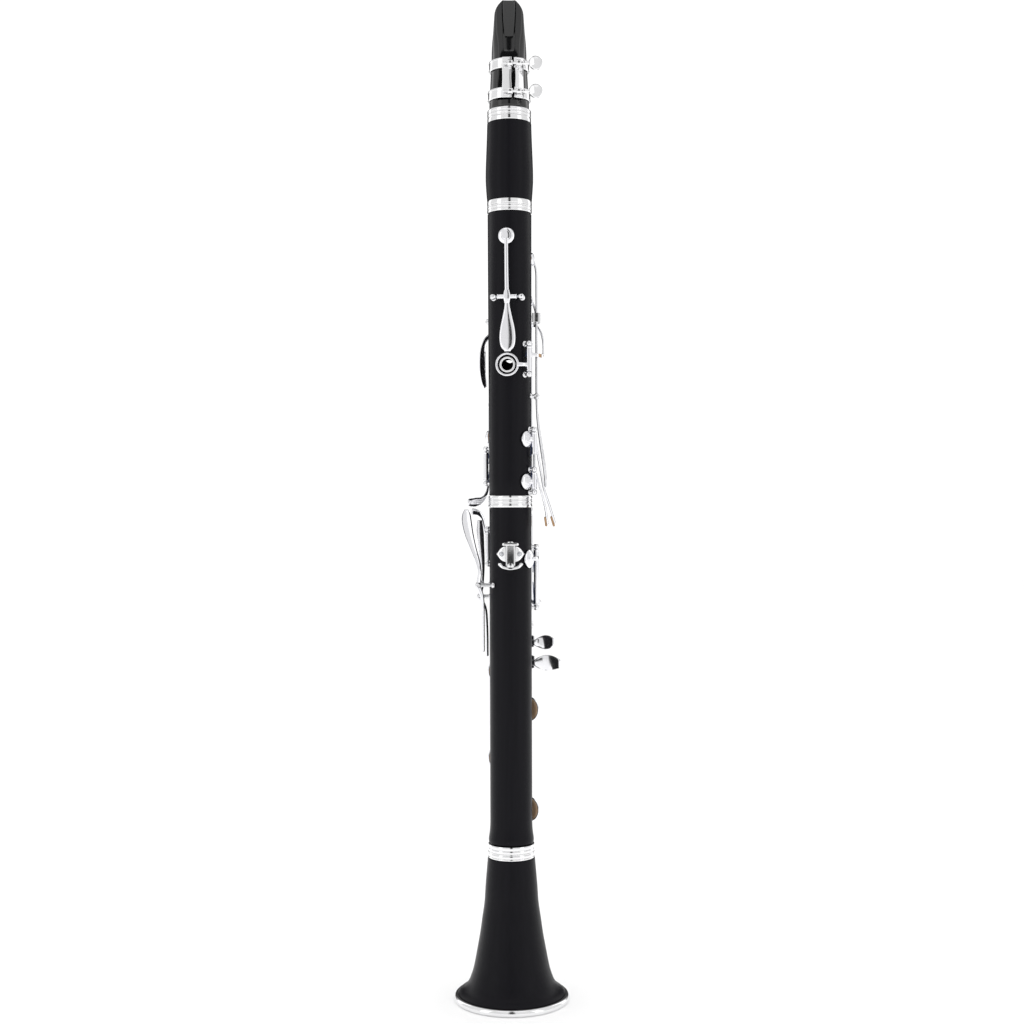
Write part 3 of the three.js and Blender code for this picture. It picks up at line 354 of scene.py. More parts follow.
class Skin:
    """Closed surfaces, in millimetres, that together make one mesh."""

    def __init__(self) -> None:
        """Starts with no surface."""
        self.points: list[Vector] = []
        self.faces: list[tuple[int, ...]] = []

    def loft(self, rings: list[list[Vector]]) -> "Skin":
        """Joins rings of equal length into a closed tube with flat ends."""
        start = len(self.points)
        count = len(rings[0])
        for ring in rings:
            self.points.extend(ring)
        for i in range(len(rings) - 1):
            low = start + i * count
            for j in range(count):
                k = (j + 1) % count
                self.faces.append((low + j, low + k, low + count + k, low + count + j))
        self.faces.append(tuple(start + j for j in reversed(range(count))))
        end = start + (len(rings) - 1) * count
        self.faces.append(tuple(end + j for j in range(count)))
        return self

    def lathe(self, profile: Profile, place: Matrix, sides: int = 32,
              closed: bool = False) -> "Skin":
        """Turns an outline round the Z of a placement.

        Args:
            profile: Radius and height pairs, the height rising on the outside.
            place: Where the turned shape goes.
            sides: How many sides it has.
            closed: Whether the outline closes on itself, rather than on the axis.

        Returns:
            This skin.
        """
        rows: list[list[int]] = []
        for radius, height in profile:
            start = len(self.points)
            if radius < 1e-6:
                self.points.append(place @ Vector((0, 0, height)))
                rows.append([start] * sides)
                continue
            for j in range(sides):
                turn = 2 * math.pi * j / sides
                self.points.append(
                    place @ Vector((radius * math.cos(turn), radius * math.sin(turn), height)))
            rows.append([start + j for j in range(sides)])
        pairs = list(zip(rows, rows[1:]))
        if closed:
            pairs.append((rows[-1], rows[0]))
        for low, high in pairs:
            for j in range(sides):
                k = (j + 1) % sides
                corners = (low[j], low[k], high[k], high[j])
                face = tuple(dict.fromkeys(corners))
                if len(face) > 2:
                    self.faces.append(face)
        return self

    def rod(self, start: Vector, end: Vector, radius: float, sides: int = 24,
            chamfer: float = 0.25) -> "Skin":
        """Adds a round bar with softened ends."""
        length = (end - start).length
        profile = filleted([(0, 0), (radius, 0), (radius, length), (0, length)], chamfer, 3)
        return self.lathe(profile, facing(end - start, start), sides)

    def lever(self, stations: Sequence[Station], thick: float = 1.5, out: Vector | None = None,
              power: float = 3.2, steps: int = 6) -> "Skin":
        """Adds a rounded bar through stations.

        Args:
            stations: x, y, z and width, one after another along the bar.
            thick: The bar's thickness.
            out: Where its broad face looks. Away from the bore where it isn't given.
            power: How square its section is; 2 is an ellipse.
            steps: How many pieces each span gets.

        Returns:
            This skin.
        """
        path = smooth_path(stations, steps)
        points = [Vector(row[:3]) for row in path]
        rings: list[list[Vector]] = []
        for i, row in enumerate(path):
            along = (points[min(i + 1, len(points) - 1)] - points[max(i - 1, 0)]).normalized()
            face = (out or Vector((row[0], row[1], 0))).copy()
            face = (face - along * face.dot(along)).normalized()
            side = along.cross(face)
            half, deep = row[3] / 2, thick / 2
            ends = [(points[i], 1.0)]
            if i in (0, len(path) - 1):
                sign = -1 if i == 0 else 1
                ends = [(points[i] + along * sign * deep * math.sin(a), math.cos(a))
                        for a in (0.0, 0.5, 0.95, 1.3)]
                ends = ends[::-1] if i == 0 else ends
            for middle, scale in ends:
                ring = []
                reach = half - deep * (1 - scale)
                for j in range(20):
                    turn = 2 * math.pi * j / 20
                    c, s = math.cos(turn), math.sin(turn)
                    x = math.copysign(abs(c) ** (2 / power), c) * reach
                    y = math.copysign(abs(s) ** (2 / power), s) * deep * max(scale, 0.3)
                    ring.append(middle + side * x + face * y)
                rings.append(ring)
        return self.loft(rings)

    def block(self, low: Station, high: Station, soft: float = 0.4) -> "Skin":
        """Adds a box with rounded upright edges between two corners."""
        corners = [(low[0], low[1]), (high[0], low[1]), (high[0], high[1]), (low[0], high[1])]
        outline = filleted(corners, soft, 3, closed=True)
        middle = Vector(((low[0] + high[0]) / 2, (low[1] + high[1]) / 2))
        half = min(high[0] - low[0], high[1] - low[1]) / 2
        inset = 1 - min(soft * 0.6, half * 0.5) / half
        levels = [(low[2], inset), (low[2] + soft * 0.5, 1.0), (high[2] - soft * 0.5, 1.0),
                  (high[2], inset)]
        rings = [[Vector((middle.x + (x - middle.x) * k, middle.y + (y - middle.y) * k, z))
                  for x, y in outline] for z, k in levels]
        return self.loft(rings)

    def swung(self, start: int, centre: Vector, deg: float) -> "Skin":
        """Turns the points from a given one on about an upright line."""
        turn = Matrix.Rotation(math.radians(deg), 4, "Z")
        base = Vector((centre.x, centre.y, 0))
        for i in range(start, len(self.points)):
            self.points[i] = turn @ (self.points[i] - base) + base
        return self

    def piece(self, name: str, finish: Finish) -> bpy.types.Object:
        """Makes the Blender object.

        Args:
            name: The piece's name.
            finish: Its finish.

        Returns:
            The object, at the origin, with its normals facing out.
        """
        mesh = bpy.data.meshes.new(name)
        mesh.from_pydata([tuple(p * MM) for p in self.points], [], self.faces)
        tidy_mesh(mesh)
        mesh.materials.append(finish.material())
        thing = bpy.data.objects.new(name, mesh)
        bpy.context.scene.collection.objects.link(thing)
        return thing


def tidy_mesh(mesh: bpy.types.Mesh) -> None:
    """Merges doubles, turns the faces outwards and sets the shading of a mesh."""
    work = bmesh.new()
    work.from_mesh(mesh)
    bmesh.ops.remove_doubles(work, verts=work.verts, dist=MERGE)
    bmesh.ops.recalc_face_normals(work, faces=work.faces)
    work.to_mesh(mesh)
    work.free()
    mesh.polygons.foreach_set("use_smooth", [True] * len(mesh.polygons))
    mesh.set_sharp_from_angle(angle=SHARP)


def carve(piece: bpy.types.Object, cutter: Skin, keep: str = "DIFFERENCE") -> bpy.types.Object:
    """Cuts a piece with a skin, or keeps what they share.

    Args:
        piece: The object to cut.
        cutter: The tool's surfaces.
        keep: The boolean operation.

    Returns:
        The piece.
    """
    tool = cutter.piece("tool", WOOD)
    step = piece.modifiers.new("carve", "BOOLEAN")
    step.operation = keep
    step.object = tool
    step.solver = "EXACT"
    step.use_self = True
    graph = bpy.context.evaluated_depsgraph_get()
    mesh = bpy.data.meshes.new_from_object(piece.evaluated_get(graph))
    piece.modifiers.clear()
    piece.data = mesh
    bpy.data.objects.remove(tool)
    while len(mesh.materials) > 1:
        mesh.materials.pop()
    tidy_mesh(mesh)
    return piece


def show(piece: bpy.types.Object, body: str, slot: str, *nodes: str) -> bpy.types.Object:
    """Attaches a finished piece to its body and hides the frame's nodes that it stands for.

    Args:
        piece: The object.
        body: The body that it rides on.
        slot: The material slot's name. Not used.
        *nodes: The frame's nodes that it stands for.

    Returns:
        The piece.
    """
    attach(piece, body)
    if nodes:
        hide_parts(*nodes)
    LOG.info("%s on %s: %d faces", piece.name, body, len(piece.data.polygons))
    return piece


# ------------------------------------------------------------------ geometry node trees


def node_tree(name: str, inputs: dict[str, str]) -> bpy.types.NodeTree:
    """Starts a geometry node tree.

    Args:
        name: The tree's name.
        inputs: Each named input with its socket type.

    Returns:
        The tree, with its Geometry input and output.
    """
    tree = bpy.data.node_groups.new(name, "GeometryNodeTree")
    tree.interface.new_socket("Geometry", in_out="INPUT", socket_type="NodeSocketGeometry")
    for label, kind in inputs.items():
        tree.interface.new_socket(label, in_out="INPUT", socket_type=kind)
    tree.interface.new_socket("Geometry", in_out="OUTPUT", socket_type="NodeSocketGeometry")
    tree.nodes.new("NodeGroupInput").name = "in"
    tree.nodes.new("NodeGroupOutput").name = "out"
    return tree


def chain(tree: bpy.types.NodeTree, source: object, kinds: Sequence[str]) -> list:
    """Links nodes one after another through their first sockets.

    Args:
        tree: The tree that gets them.
        source: The first socket.
        kinds: The nodes' type names.

    Returns:
        The new nodes in order.
    """
    made = []
    for kind in kinds:
        node = tree.nodes.new(kind)
        tree.links.new(source, node.inputs[0])
        source = node.outputs[0]
        made.append(node)
    return made


def make_scatter_tree() -> bpy.types.NodeTree:
    """Makes the tree that puts a copy of one small shape on each point, turned to its axis."""
    tree = node_tree("copies_on_points", {
        "Shape": "NodeSocketObject",
        "Finish": "NodeSocketMaterial",
        "Size": "NodeSocketFloat",
    })
    source = tree.nodes["in"].outputs
    info = tree.nodes.new("GeometryNodeObjectInfo")
    tree.links.new(source["Shape"], info.inputs["Object"])
    copies = tree.nodes.new("GeometryNodeInstanceOnPoints")
    tree.links.new(source["Geometry"], copies.inputs["Points"])
    tree.links.new(info.outputs["Geometry"], copies.inputs["Instance"])
    tree.links.new(source["Size"], copies.inputs["Scale"])
    axis = tree.nodes.new("GeometryNodeInputNamedAttribute")
    axis.data_type = "FLOAT_VECTOR"
    axis.inputs["Name"].default_value = "axis"
    turn = tree.nodes.new("FunctionNodeAlignRotationToVector")
    turn.axis = "Z"
    tree.links.new(axis.outputs["Attribute"], turn.inputs["Vector"])
    tree.links.new(turn.outputs[0], copies.inputs["Rotation"])
    _, paint = chain(tree, copies.outputs[0],
                     ["GeometryNodeRealizeInstances", "GeometryNodeSetMaterial"])
    tree.links.new(source["Finish"], paint.inputs["Material"])
    tree.links.new(paint.outputs[0], tree.nodes["out"].inputs[0])
    return tree


def make_wire_tree() -> bpy.types.NodeTree:
    """Makes the tree that turns edges into round wires of one radius."""
    tree = node_tree("wire_along_edges", {
        "Radius": "NodeSocketFloat",
        "Sides": "NodeSocketInt",
        "Finish": "NodeSocketMaterial",
    })
    source = tree.nodes["in"].outputs
    curve = tree.nodes.new("GeometryNodeMeshToCurve")
    tree.links.new(source["Geometry"], curve.inputs[0])
    ring = tree.nodes.new("GeometryNodeCurvePrimitiveCircle")
    tree.links.new(source["Radius"], ring.inputs["Radius"])
    tree.links.new(source["Sides"], ring.inputs["Resolution"])
    skin = tree.nodes.new("GeometryNodeCurveToMesh")
    skin.inputs["Fill Caps"].default_value = True
    tree.links.new(curve.outputs[0], skin.inputs["Curve"])
    tree.links.new(ring.outputs[0], skin.inputs["Profile Curve"])
    _, paint = chain(tree, skin.outputs[0],
                     ["GeometryNodeRealizeInstances", "GeometryNodeSetMaterial"])
    tree.links.new(source["Finish"], paint.inputs["Material"])
    tree.links.new(paint.outputs[0], tree.nodes["out"].inputs[0])
    return tree


TREES = {"scatter": make_scatter_tree(), "wire": make_wire_tree()}


def grown(seed: bpy.types.Object, tree: bpy.types.NodeTree, values: dict[str, object],
          finish: Finish) -> bpy.types.Object:
    """Runs a geometry node tree on an object and keeps the result as a plain mesh.

    Args:
        seed: The object whose mesh feeds the tree.
        tree: The node tree.
        values: The tree's inputs by name.
        finish: The finish of the result.

    Returns:
        The same object with its new mesh.
    """
    step = seed.modifiers.new("grow", "NODES")
    step.node_group = tree
    for item in tree.interface.items_tree:
        if item.item_type == "SOCKET" and item.in_out == "INPUT" and item.name in values:
            step[item.identifier] = values[item.name]
    graph = bpy.context.evaluated_depsgraph_get()
    mesh = bpy.data.meshes.new_from_object(seed.evaluated_get(graph))
    seed.modifiers.clear()
    seed.data = mesh
    mesh.materials.clear()
    mesh.materials.append(finish.material())
    mesh.polygons.foreach_set("material_index", [0] * len(mesh.polygons))
    tidy_mesh(mesh)
    return seed


def scatter(name: str, shape: Skin, spots: Sequence[tuple[Vector, Vector]],
            finish: Finish) -> bpy.types.Object:
    """Puts copies of a small shape on spots.

    Args:
        name: The new piece's name.
        shape: The shape, standing on the origin along +Z.
        spots: A point and an axis for each copy.
        finish: The copies' finish.

    Returns:
        One object with all the copies.
    """
    pattern = shape.piece("pattern", finish)
    mesh = bpy.data.meshes.new(name)
    mesh.from_pydata([tuple(point * MM) for point, _ in spots], [], [])
    axis = mesh.attributes.new("axis", "FLOAT_VECTOR", "POINT")
    axis.data.foreach_set("vector", [value for _, way in spots for value in way.normalized()])
    seed = bpy.data.objects.new(name, mesh)
    bpy.context.scene.collection.objects.link(seed)
    values = {"Shape": pattern, "Finish": finish.material(), "Size": 1.0}
    made = grown(seed, TREES["scatter"], values, finish)
    bpy.data.objects.remove(pattern)
    return made


def wires(name: str, paths: Sequence[Sequence[Vector]], radius: float,
          finish: Finish) -> bpy.types.Object:
    """Makes round wires along paths.

    Args:
        name: The new piece's name.
        paths: The points of each wire.
        radius: The wires' radius.
        finish: Their finish.

    Returns:
        One object with all the wires.
    """
    points: list[tuple] = []
    edges: list[tuple[int, int]] = []
    for path in paths:
        start = len(points)
        points.extend(tuple(p * MM) for p in path)
        edges.extend((start + i, start + i + 1) for i in range(len(path) - 1))
    mesh = bpy.data.meshes.new(name)
    mesh.from_pydata(points, edges, [])
    seed = bpy.data.objects.new(name, mesh)
    bpy.context.scene.collection.objects.link(seed)
    values = {"Radius": radius * MM, "Sides": 14, "Finish": finish.material()}
    return grown(seed, TREES["wire"], values, finish)


# ------------------------------------------------------------------ shared sizes


@dataclass(frozen=True)
class Sizes:
    """Levels and radii shared by the wood, the rings and the key work, in millimetres."""

    bell_top: float = 104.2
    lower_top: float = 335.0
    upper_top: float = 522.0
    barrel_top: float = 590.8
    tip: float = 662.0
    gap: float = 0.3
    body: float = 14.0
    bore: float = 7.4
    bell_tenon: float = 11.2
    tenon: float = 10.1
    play: float = 0.4
    tube: float = 1.7
    rod: float = 0.75
    front: float = 90.0
    chimney: float = 5.4
    chimney_top: float = 16.0


SIZE = Sizes()


@dataclass(frozen=True)
class Pad:
    """A pad's place: its angle, height and radius."""

    deg: float
    z: float
    radius: float

    @property
    def seat(self) -> float:
        """The radius of the flat seat that is cut into the wood."""
        return SIZE.body - self.radius ** 2 / 32


PADS = {
    "throat_a": Pad(93, 478, 4.6),
    "throat_gs": Pad(125, 470, 5.0),
    "f_vent": Pad(68, 441.5, 4.2),
    "side_3": Pad(30, 465, 4.4),
    "side_4": Pad(3, 492, 4.6),
    "side_2": Pad(-40, 372, 5.3),
    "side_1": Pad(-42, 344, 5.2),
    "sliver_eb": Pad(168, 374, 4.3),
    "cs_gs": Pad(122, 357, 5.3),
    "ring_vent": Pad(75, 316, 4.6),
    "sliver_b": Pad(-28, 293, 6.1),
    "gs_ds": Pad(140, 217.7, 7.4),
    "f_c": Pad(40, 191.7, 8.3),
    "fs_cs": Pad(140, 160, 7.6),
    "e_b": Pad(40, 124.5, 8.3),
}
UPPER_PADS = ("throat_a", "throat_gs", "f_vent", "side_3", "side_4", "side_2", "side_1",
              "sliver_eb", "cs_gs")
LOWER_PADS = ("ring_vent", "sliver_b", "gs_ds", "f_c", "fs_cs", "e_b")
HOLES = ((427, 3.0), (401, 3.6), (375, 3.8), (298, 4.0), (275, 4.2), (251, 3.8))
THUMB_DEG = -96.0
THUMB_Z = 420.6
THUMB_HOLE = 3.75


# ------------------------------------------------------------------ wood, rings and bell


def plug(skin: Skin, deg: float, z: float, radius: float, low: float, high: float) -> Skin:
    """Adds a round plug along an outward axis, for cutting or joining."""
    return skin.lathe([(0, low), (radius, low), (radius, high), (0, high)], outward(deg, z), 48)


@dataclass
class Turned:
    """A turned wooden section with its holes.

    Attributes:
        name: The piece's name.
        body: The body that it rides on.
        node: The frame's node that it stands for.
        outline: Its closed outline.
        pads: The pads whose seats are cut into it.
        holes: The finger holes through it.
        ringed: The finger holes with a chimney.
    """

    name: str
    body: Body
    node: str
    outline: Profile
    pads: Sequence[str] = ()
    holes: Sequence[tuple[float, float]] = ()
    ringed: Sequence[tuple[float, float]] = ()

    def build(self) -> bpy.types.Object:
        """Turns the section and cuts its seats and holes."""
        piece = Skin().lathe(self.outline, Matrix(), 112, closed=True).piece(self.name, WOOD)
        if self.ringed:
            lift = Skin()
            for z, _ in self.ringed:
                edge = filleted([(0, 12), (SIZE.chimney, 12), (SIZE.chimney, SIZE.chimney_top),
                                 (0, SIZE.chimney_top)], 0.5)
                lift.lathe(edge, outward(SIZE.front, z), 40)
            carve(piece, lift, "UNION")
        cutter = Skin()
        for label in self.pads:
            pad = PADS[label]
            plug(cutter, pad.deg, pad.z, pad.radius + 0.6, pad.seat, 20)
        if self.pads:
            carve(piece, cutter)
        drill = Skin()
        for label in self.pads:
            pad = PADS[label]
            plug(drill, pad.deg, pad.z, pad.radius * 0.55, 5, 20)
        for z, hole in self.holes:
            bowl = [(0, 5), (hole, 5), (hole, 14.8), (hole + 0.35, 16.2), (hole + 0.9, 20), (0, 20)]
            drill.lathe(bowl, outward(SIZE.front, z), 40)
        if self.pads or self.holes:
            carve(piece, drill)
        return piece

    def dress(self) -> None:
        show(self.build(), self.body.value, "wood", self.node)


def tenon(low: float, high: float, radius: float) -> Profile:
    """Returns a tenon's outline with its cork groove, from its free end to its shoulder."""
    groove = radius - 1.4
    run = math.copysign(1, high - low)
    return [(radius - 0.4, low), (radius, low + run * 0.5), (radius, low + run * 3),
            (groove, low + run * 3), (groove, high - run * 4), (radius, high - run * 4),
            (radius, high)]


@dataclass
class Cork:
    """A cork ring in a tenon's groove."""

    name: str
    body: Body
    low: float
    high: float
    radius: float

    def dress(self) -> None:
        inner = self.radius - 1.4 + SIZE.gap
        outer = self.radius + SIZE.play - 0.15
        bottom, top = self.low + 3.3, self.high - 4.3
        profile = filleted([(inner, bottom), (outer, bottom), (outer, top), (inner, top)], 0.5,
                           closed=True)
        piece = Skin().lathe(profile, Matrix(), 72, closed=True).piece(self.name + "_ring", CORK)
        show(piece, self.body.value, "cork", self.name)


@dataclass
class BeadedRing:
    """A metal ring with rounded beads parted by grooves.

    Attributes:
        name: The node that it stands for.
        body: The body that it rides on.
        low: Its lower level.
        high: Its upper level.
        inner: Its inner radius.
        outer: Its outer radius.
        beads: The height of each bead in turn, as shares of the whole.
    """

    name: str
    body: Body
    low: float
    high: float
    inner: float
    outer: float
    beads: tuple[float, ...] = (0.16, 0.30, 0.08, 0.30, 0.16)

    def profile(self) -> Profile:
        """Returns the closed outline, with an arc for each bead."""
        height = self.high - self.low
        scale = height / sum(self.beads)
        points: Profile = [(self.inner, self.low)]
        z = self.low
        for share in self.beads:
            tall = share * scale
            depth = min(0.42, tall * 0.4)
            for step in range(9):
                t = step / 8
                swell = math.sin(math.pi * (0.06 + 0.88 * t)) ** 0.45
                points.append((self.outer - depth * (1 - swell), z + tall * (0.03 + 0.94 * t)))
            z += tall
            if z < self.high - 0.1:
                points.append((self.outer - 0.5, z))
        points.append((self.inner, self.high))
        return points

    def dress(self) -> None:
        skin = Skin().lathe(self.profile(), Matrix(), 112, closed=True)
        show(skin.piece(self.name + "_beads", SILVER), self.body.value, "silver_fittings",
             self.name)


class Bell:
    """The bell with its flare, its rim ring and the ring at its socket."""

    flare: Profile = [(35.7, 5), (34.2, 6.4), (31.2, 8.6), (28.6, 12), (26.6, 17), (25, 22.6),
                      (23, 33),
                      (21, 44), (19.5, 54.5), (18, 65), (17.2, 77), (15.7, 94.4)]
    inside: Profile = [(10.2, 83.6), (12.4, 65), (16, 44), (20.6, 24), (25.5, 10), (31.2, 1.9)]

    def outline(self) -> Profile:
        """Returns the bell's closed outline."""
        outer = [(x, z) for x, z in smooth_path(self.flare, 5)]
        inner = [(x, z) for x, z in smooth_path(self.inside, 6)]
        socket, seat = 11.6, 12.7
        top = SIZE.bell_top - SIZE.gap
        lip = [(33.2, 1.9), (34.3, 2.1), (34.7, 2.8), (34.85, 4.4), (34.8, 5.8)]
        return [*lip, *outer, (seat, 94.4), (seat, top), (socket + 0.3, top),
                (socket, top - 0.5), (socket, 83.6), *inner]

    def rim(self) -> Profile:
        """Returns the rim ring's closed outline: a rolled lip with an inner step."""
        return filleted([(33.4, 0), (37.3, 0), (38.25, 1), (38.3, 2.8), (37.5, 4.1),
                         (36.2, 4.7), (35.15, 4.5), (35.05, 1.4), (33.4, 1.4)], 0.8, 5, True)

    def dress(self) -> None:
        Turned("bell_wood", Body.BELL, "bell", self.outline()).dress()
        ring = Skin().lathe(self.rim(), Matrix(), 144, closed=True)
        show(ring.piece("bell_rim_roll", SILVER), "bell", "silver_fittings", "bell_rim_ring")
        BeadedRing("bell_top_ring", Body.BELL, 94.7, 103.9, 13.0, 15.5,
                   (0.14, 0.24, 0.10, 0.24, 0.28)).dress()


class LowerJoint:
    """The wood of the lower joint, its cork and the ring round its socket."""

    foot: float = SIZE.bell_top - 20

    def outline(self) -> Profile:
        """Returns the lower joint's closed outline."""
        socket = SIZE.tenon + SIZE.play
        top = SIZE.lower_top - SIZE.gap
        return [(9.2, self.foot), *tenon(self.foot, SIZE.bell_top + 0.3, SIZE.bell_tenon),
                (14.2, 104.5), (14.8, 104.8), (15.0, 105.6), (15.02, 106.8), (14.9, 108.2),
                (14.6, 110.2), (14.3, 112.5), (14.1, 115), (14, 118), (14, 170), (14, 230),
                (14, 290), (14, 326.7), (12.9, 326.7), (12.9, top), (socket, top),
                (socket, top - 20), (SIZE.bore, top - 20), (SIZE.bore, 165), (8.1, 130)]

    def dress(self) -> None:
        Turned("lower_joint_wood", Body.LOWER, "lower_joint", self.outline(), LOWER_PADS,
               HOLES[3:], HOLES[3:]).dress()
        BeadedRing("middle_ring", Body.LOWER, 327, 334.7, 13.2, 14.6,
                   (0.30, 0.10, 0.20, 0.12, 0.28)).dress()
        Cork("lower_joint_cork", Body.LOWER, self.foot, 104.5, SIZE.bell_tenon).dress()


class UpperJoint:
    """The wood of the upper joint, its corks and its two metal tubes."""

    foot: float = SIZE.lower_top - 20
    head: float = SIZE.upper_top + 15

    def outline(self) -> Profile:
        """Returns the upper joint's closed outline."""
        return [(SIZE.bore, self.foot), *tenon(self.foot, SIZE.lower_top, SIZE.tenon),
                (13.7, 335), (14, 335.4), (14.1, 345), (14.22, 390), (14.35, 430), (14.48, 475),
                (14.6, 521.4), (14.3, 522), *reversed(tenon(self.head, SIZE.upper_top, SIZE.tenon)),
                (SIZE.bore, self.head)]

    def tube(self, name: str, deg: float, z: float, inner: float, outer: float, top: float) -> None:
        """Makes a metal tube that is set into the wood and stands out of it.

        Args:
            name: The node that it stands for.
            deg: Its angle.
            z: Its height.
            inner: Its inner radius.
            outer: Its outer radius.
            top: How far out its lip is.
        """
        profile = filleted([(inner, 9.9), (outer, 9.9), (outer, top), (inner, top)], 0.45, 5, True)
        piece = Skin().lathe(profile, outward(deg, z), 56, closed=True)
        show(piece.piece(name + "_liner", SILVER), "upper_joint", "silver_fittings", name)

    def dress(self) -> None:
        piece = Turned("upper_joint_wood", Body.UPPER, "upper_joint", self.outline(), UPPER_PADS,
                       HOLES[:3], HOLES[:2]).build()
        drill = Skin()
        plug(drill, THUMB_DEG, THUMB_Z, 5.5, 9.6, 20)
        plug(drill, -97, 504.7, 3.6, 9.6, 20)
        carve(piece, drill)
        bores = Skin()
        plug(bores, THUMB_DEG, THUMB_Z, THUMB_HOLE, 5, 20)
        plug(bores, -97, 504.7, 1.6, 5, 20)
        carve(piece, bores)
        show(piece, "upper_joint", "wood", "upper_joint")
        Cork("upper_joint_bottom_cork", Body.UPPER, self.foot, 335, SIZE.tenon).dress()
        Cork("upper_joint_top_cork", Body.UPPER, 523, 538, SIZE.tenon).dress()
        self.tube("thumb_tube", THUMB_DEG, THUMB_Z, THUMB_HOLE, 5.2, 16.4)
        self.tube("register_tube", -97, 504.7, 1.6, 3.3, 16.2)


class Barrel:
    """The barrel with a ring at each end."""

    side: Profile = [(14.9, 530.6), (15.45, 537.5), (15.8, 544), (15.75, 552), (15.3, 564),
                     (14.95, 573), (14.7, 581.9)]

    def dress(self) -> None:
        socket = SIZE.tenon + SIZE.play
        top = SIZE.barrel_top - SIZE.gap
        sides = [(x, z) for x, z in smooth_path(self.side, 5)]
        outline = [(socket, 522.3), (12.9, 522.3), (12.9, 530.6), *sides, (12.9, 581.9),
                   (12.9, top),
                   (11.3, top), (11.3, 575.2), (SIZE.bore, 575.2), (SIZE.bore, 537.3),
                   (socket, 537.3)]
        Turned("barrel_wood", Body.BARREL, "barrel", outline).dress()
        BeadedRing("barrel_bottom_ring", Body.BARREL, 522.3, 530.3, 13.2, 14.9,
                   (0.22, 0.08, 0.18, 0.10, 0.42)).dress()
        BeadedRing("barrel_top_ring", Body.BARREL, 582.2, 590.5, 13.2, 14.6,
                   (0.40, 0.10, 0.18, 0.08, 0.24)).dress()


# ------------------------------------------------------------------ mouthpiece and ligature


class Mouthpiece:
    """The mouthpiece: a turned body that runs out into a beak, with its window and chamber."""

    foot: float = SIZE.barrel_top - 16
    table: float = 9.6
    beak: float = 626.0
    window_low: float = 629.5

    def section(self, z: float) -> list[Vector]:
        """Returns the outline of the beak's section at a height."""
        rise = max(0.0, (z - self.beak) / (SIZE.tip - self.beak))
        radius = 13.15 - 1.55 * min(1.0, max(0.0, (z - 595) / 31))
        front = radius if rise <= 0 else 11.6 - 19.0 * rise ** 0.86
        tip = max(0.0, (rise - 0.72) / 0.28)
        wide = radius if rise <= 0 else 11.6 - 2.6 * rise - 5 * tip ** 2.4
        table = self.table if z > 596 else 13.4
        table -= 0.9 * max(0.0, rise - 0.3)
        middle = (front - table) / 2
        half = (front + table) / 2
        ring = []
        for j in range(72):
            turn = 2 * math.pi * j / 72
            c, s = math.cos(turn), math.sin(turn)
            blend = min(1.0, rise * 2.4)
            x = math.copysign(abs(c) ** (1 - 0.45 * blend), c) * wide
            y = math.copysign(abs(s) ** (1 - 0.35 * blend), s) * half + middle
            if z > 594 and blend < 1:
                round_y = s * radius
                flat_y = max(round_y, -table)
                y = flat_y * (1 - blend) + y * blend
                x = c * radius * (1 - blend) + x * blend
            ring.append(Vector((x, y, z)))
        return ring

    def shape(self) -> bpy.types.Object:
        """Builds the outer shape and cuts the chamber and the window."""
        rings = []
        for radius, z in tenon(self.foot, SIZE.barrel_top, 10.9):
            rings.append([at(radius, 5 * j, z) for j in range(72)])
        for radius, z in ((12.2, 590.8), (12.7, 591.1), (13.1, 592.1), (13.2, 593.4)):
            rings.append([at(radius, 5 * j, z) for j in range(72)])
        levels = [595.1, 596.2, 600, 606, 612, 618, 622, 626]
        levels += [626 + 36 * (i / 30) for i in range(1, 30)] + [661.7]
        rings += [self.section(z) for z in levels]
        piece = Skin().loft(rings).piece("mouthpiece_beak", EBONITE)
        bore = Skin().rod(Vector((0, 0, 570)), Vector((0, 0, 622)), SIZE.bore, 48)
        carve(piece, bore)
        throat = Skin().lever([(0, 0, 611, 8.6), (0, -0.8, 627, 8.2), (0, -4.6, 639, 8.4),
                               (0, -7.6, 649, 9), (0, -11.2, 659.3, 9.6)], 7.6,
                              Vector((0, -1, 0)), 5.0)
        carve(piece, throat)
        window = Skin().lever([(0, -10.6, self.window_low, 7.8), (0, -10.2, 645, 8.6),
                               (0, -10.2, 658.6, 9.8)], 4.2, Vector((0, -1, 0)), 6.0)
        return carve(piece, window)

    def dress(self) -> None:
        show(self.shape(), "mouthpiece", "ebonite", "mouthpiece")
        Cork("mouthpiece_cork", Body.MOUTH, self.foot, SIZE.barrel_top, 10.9).dress()


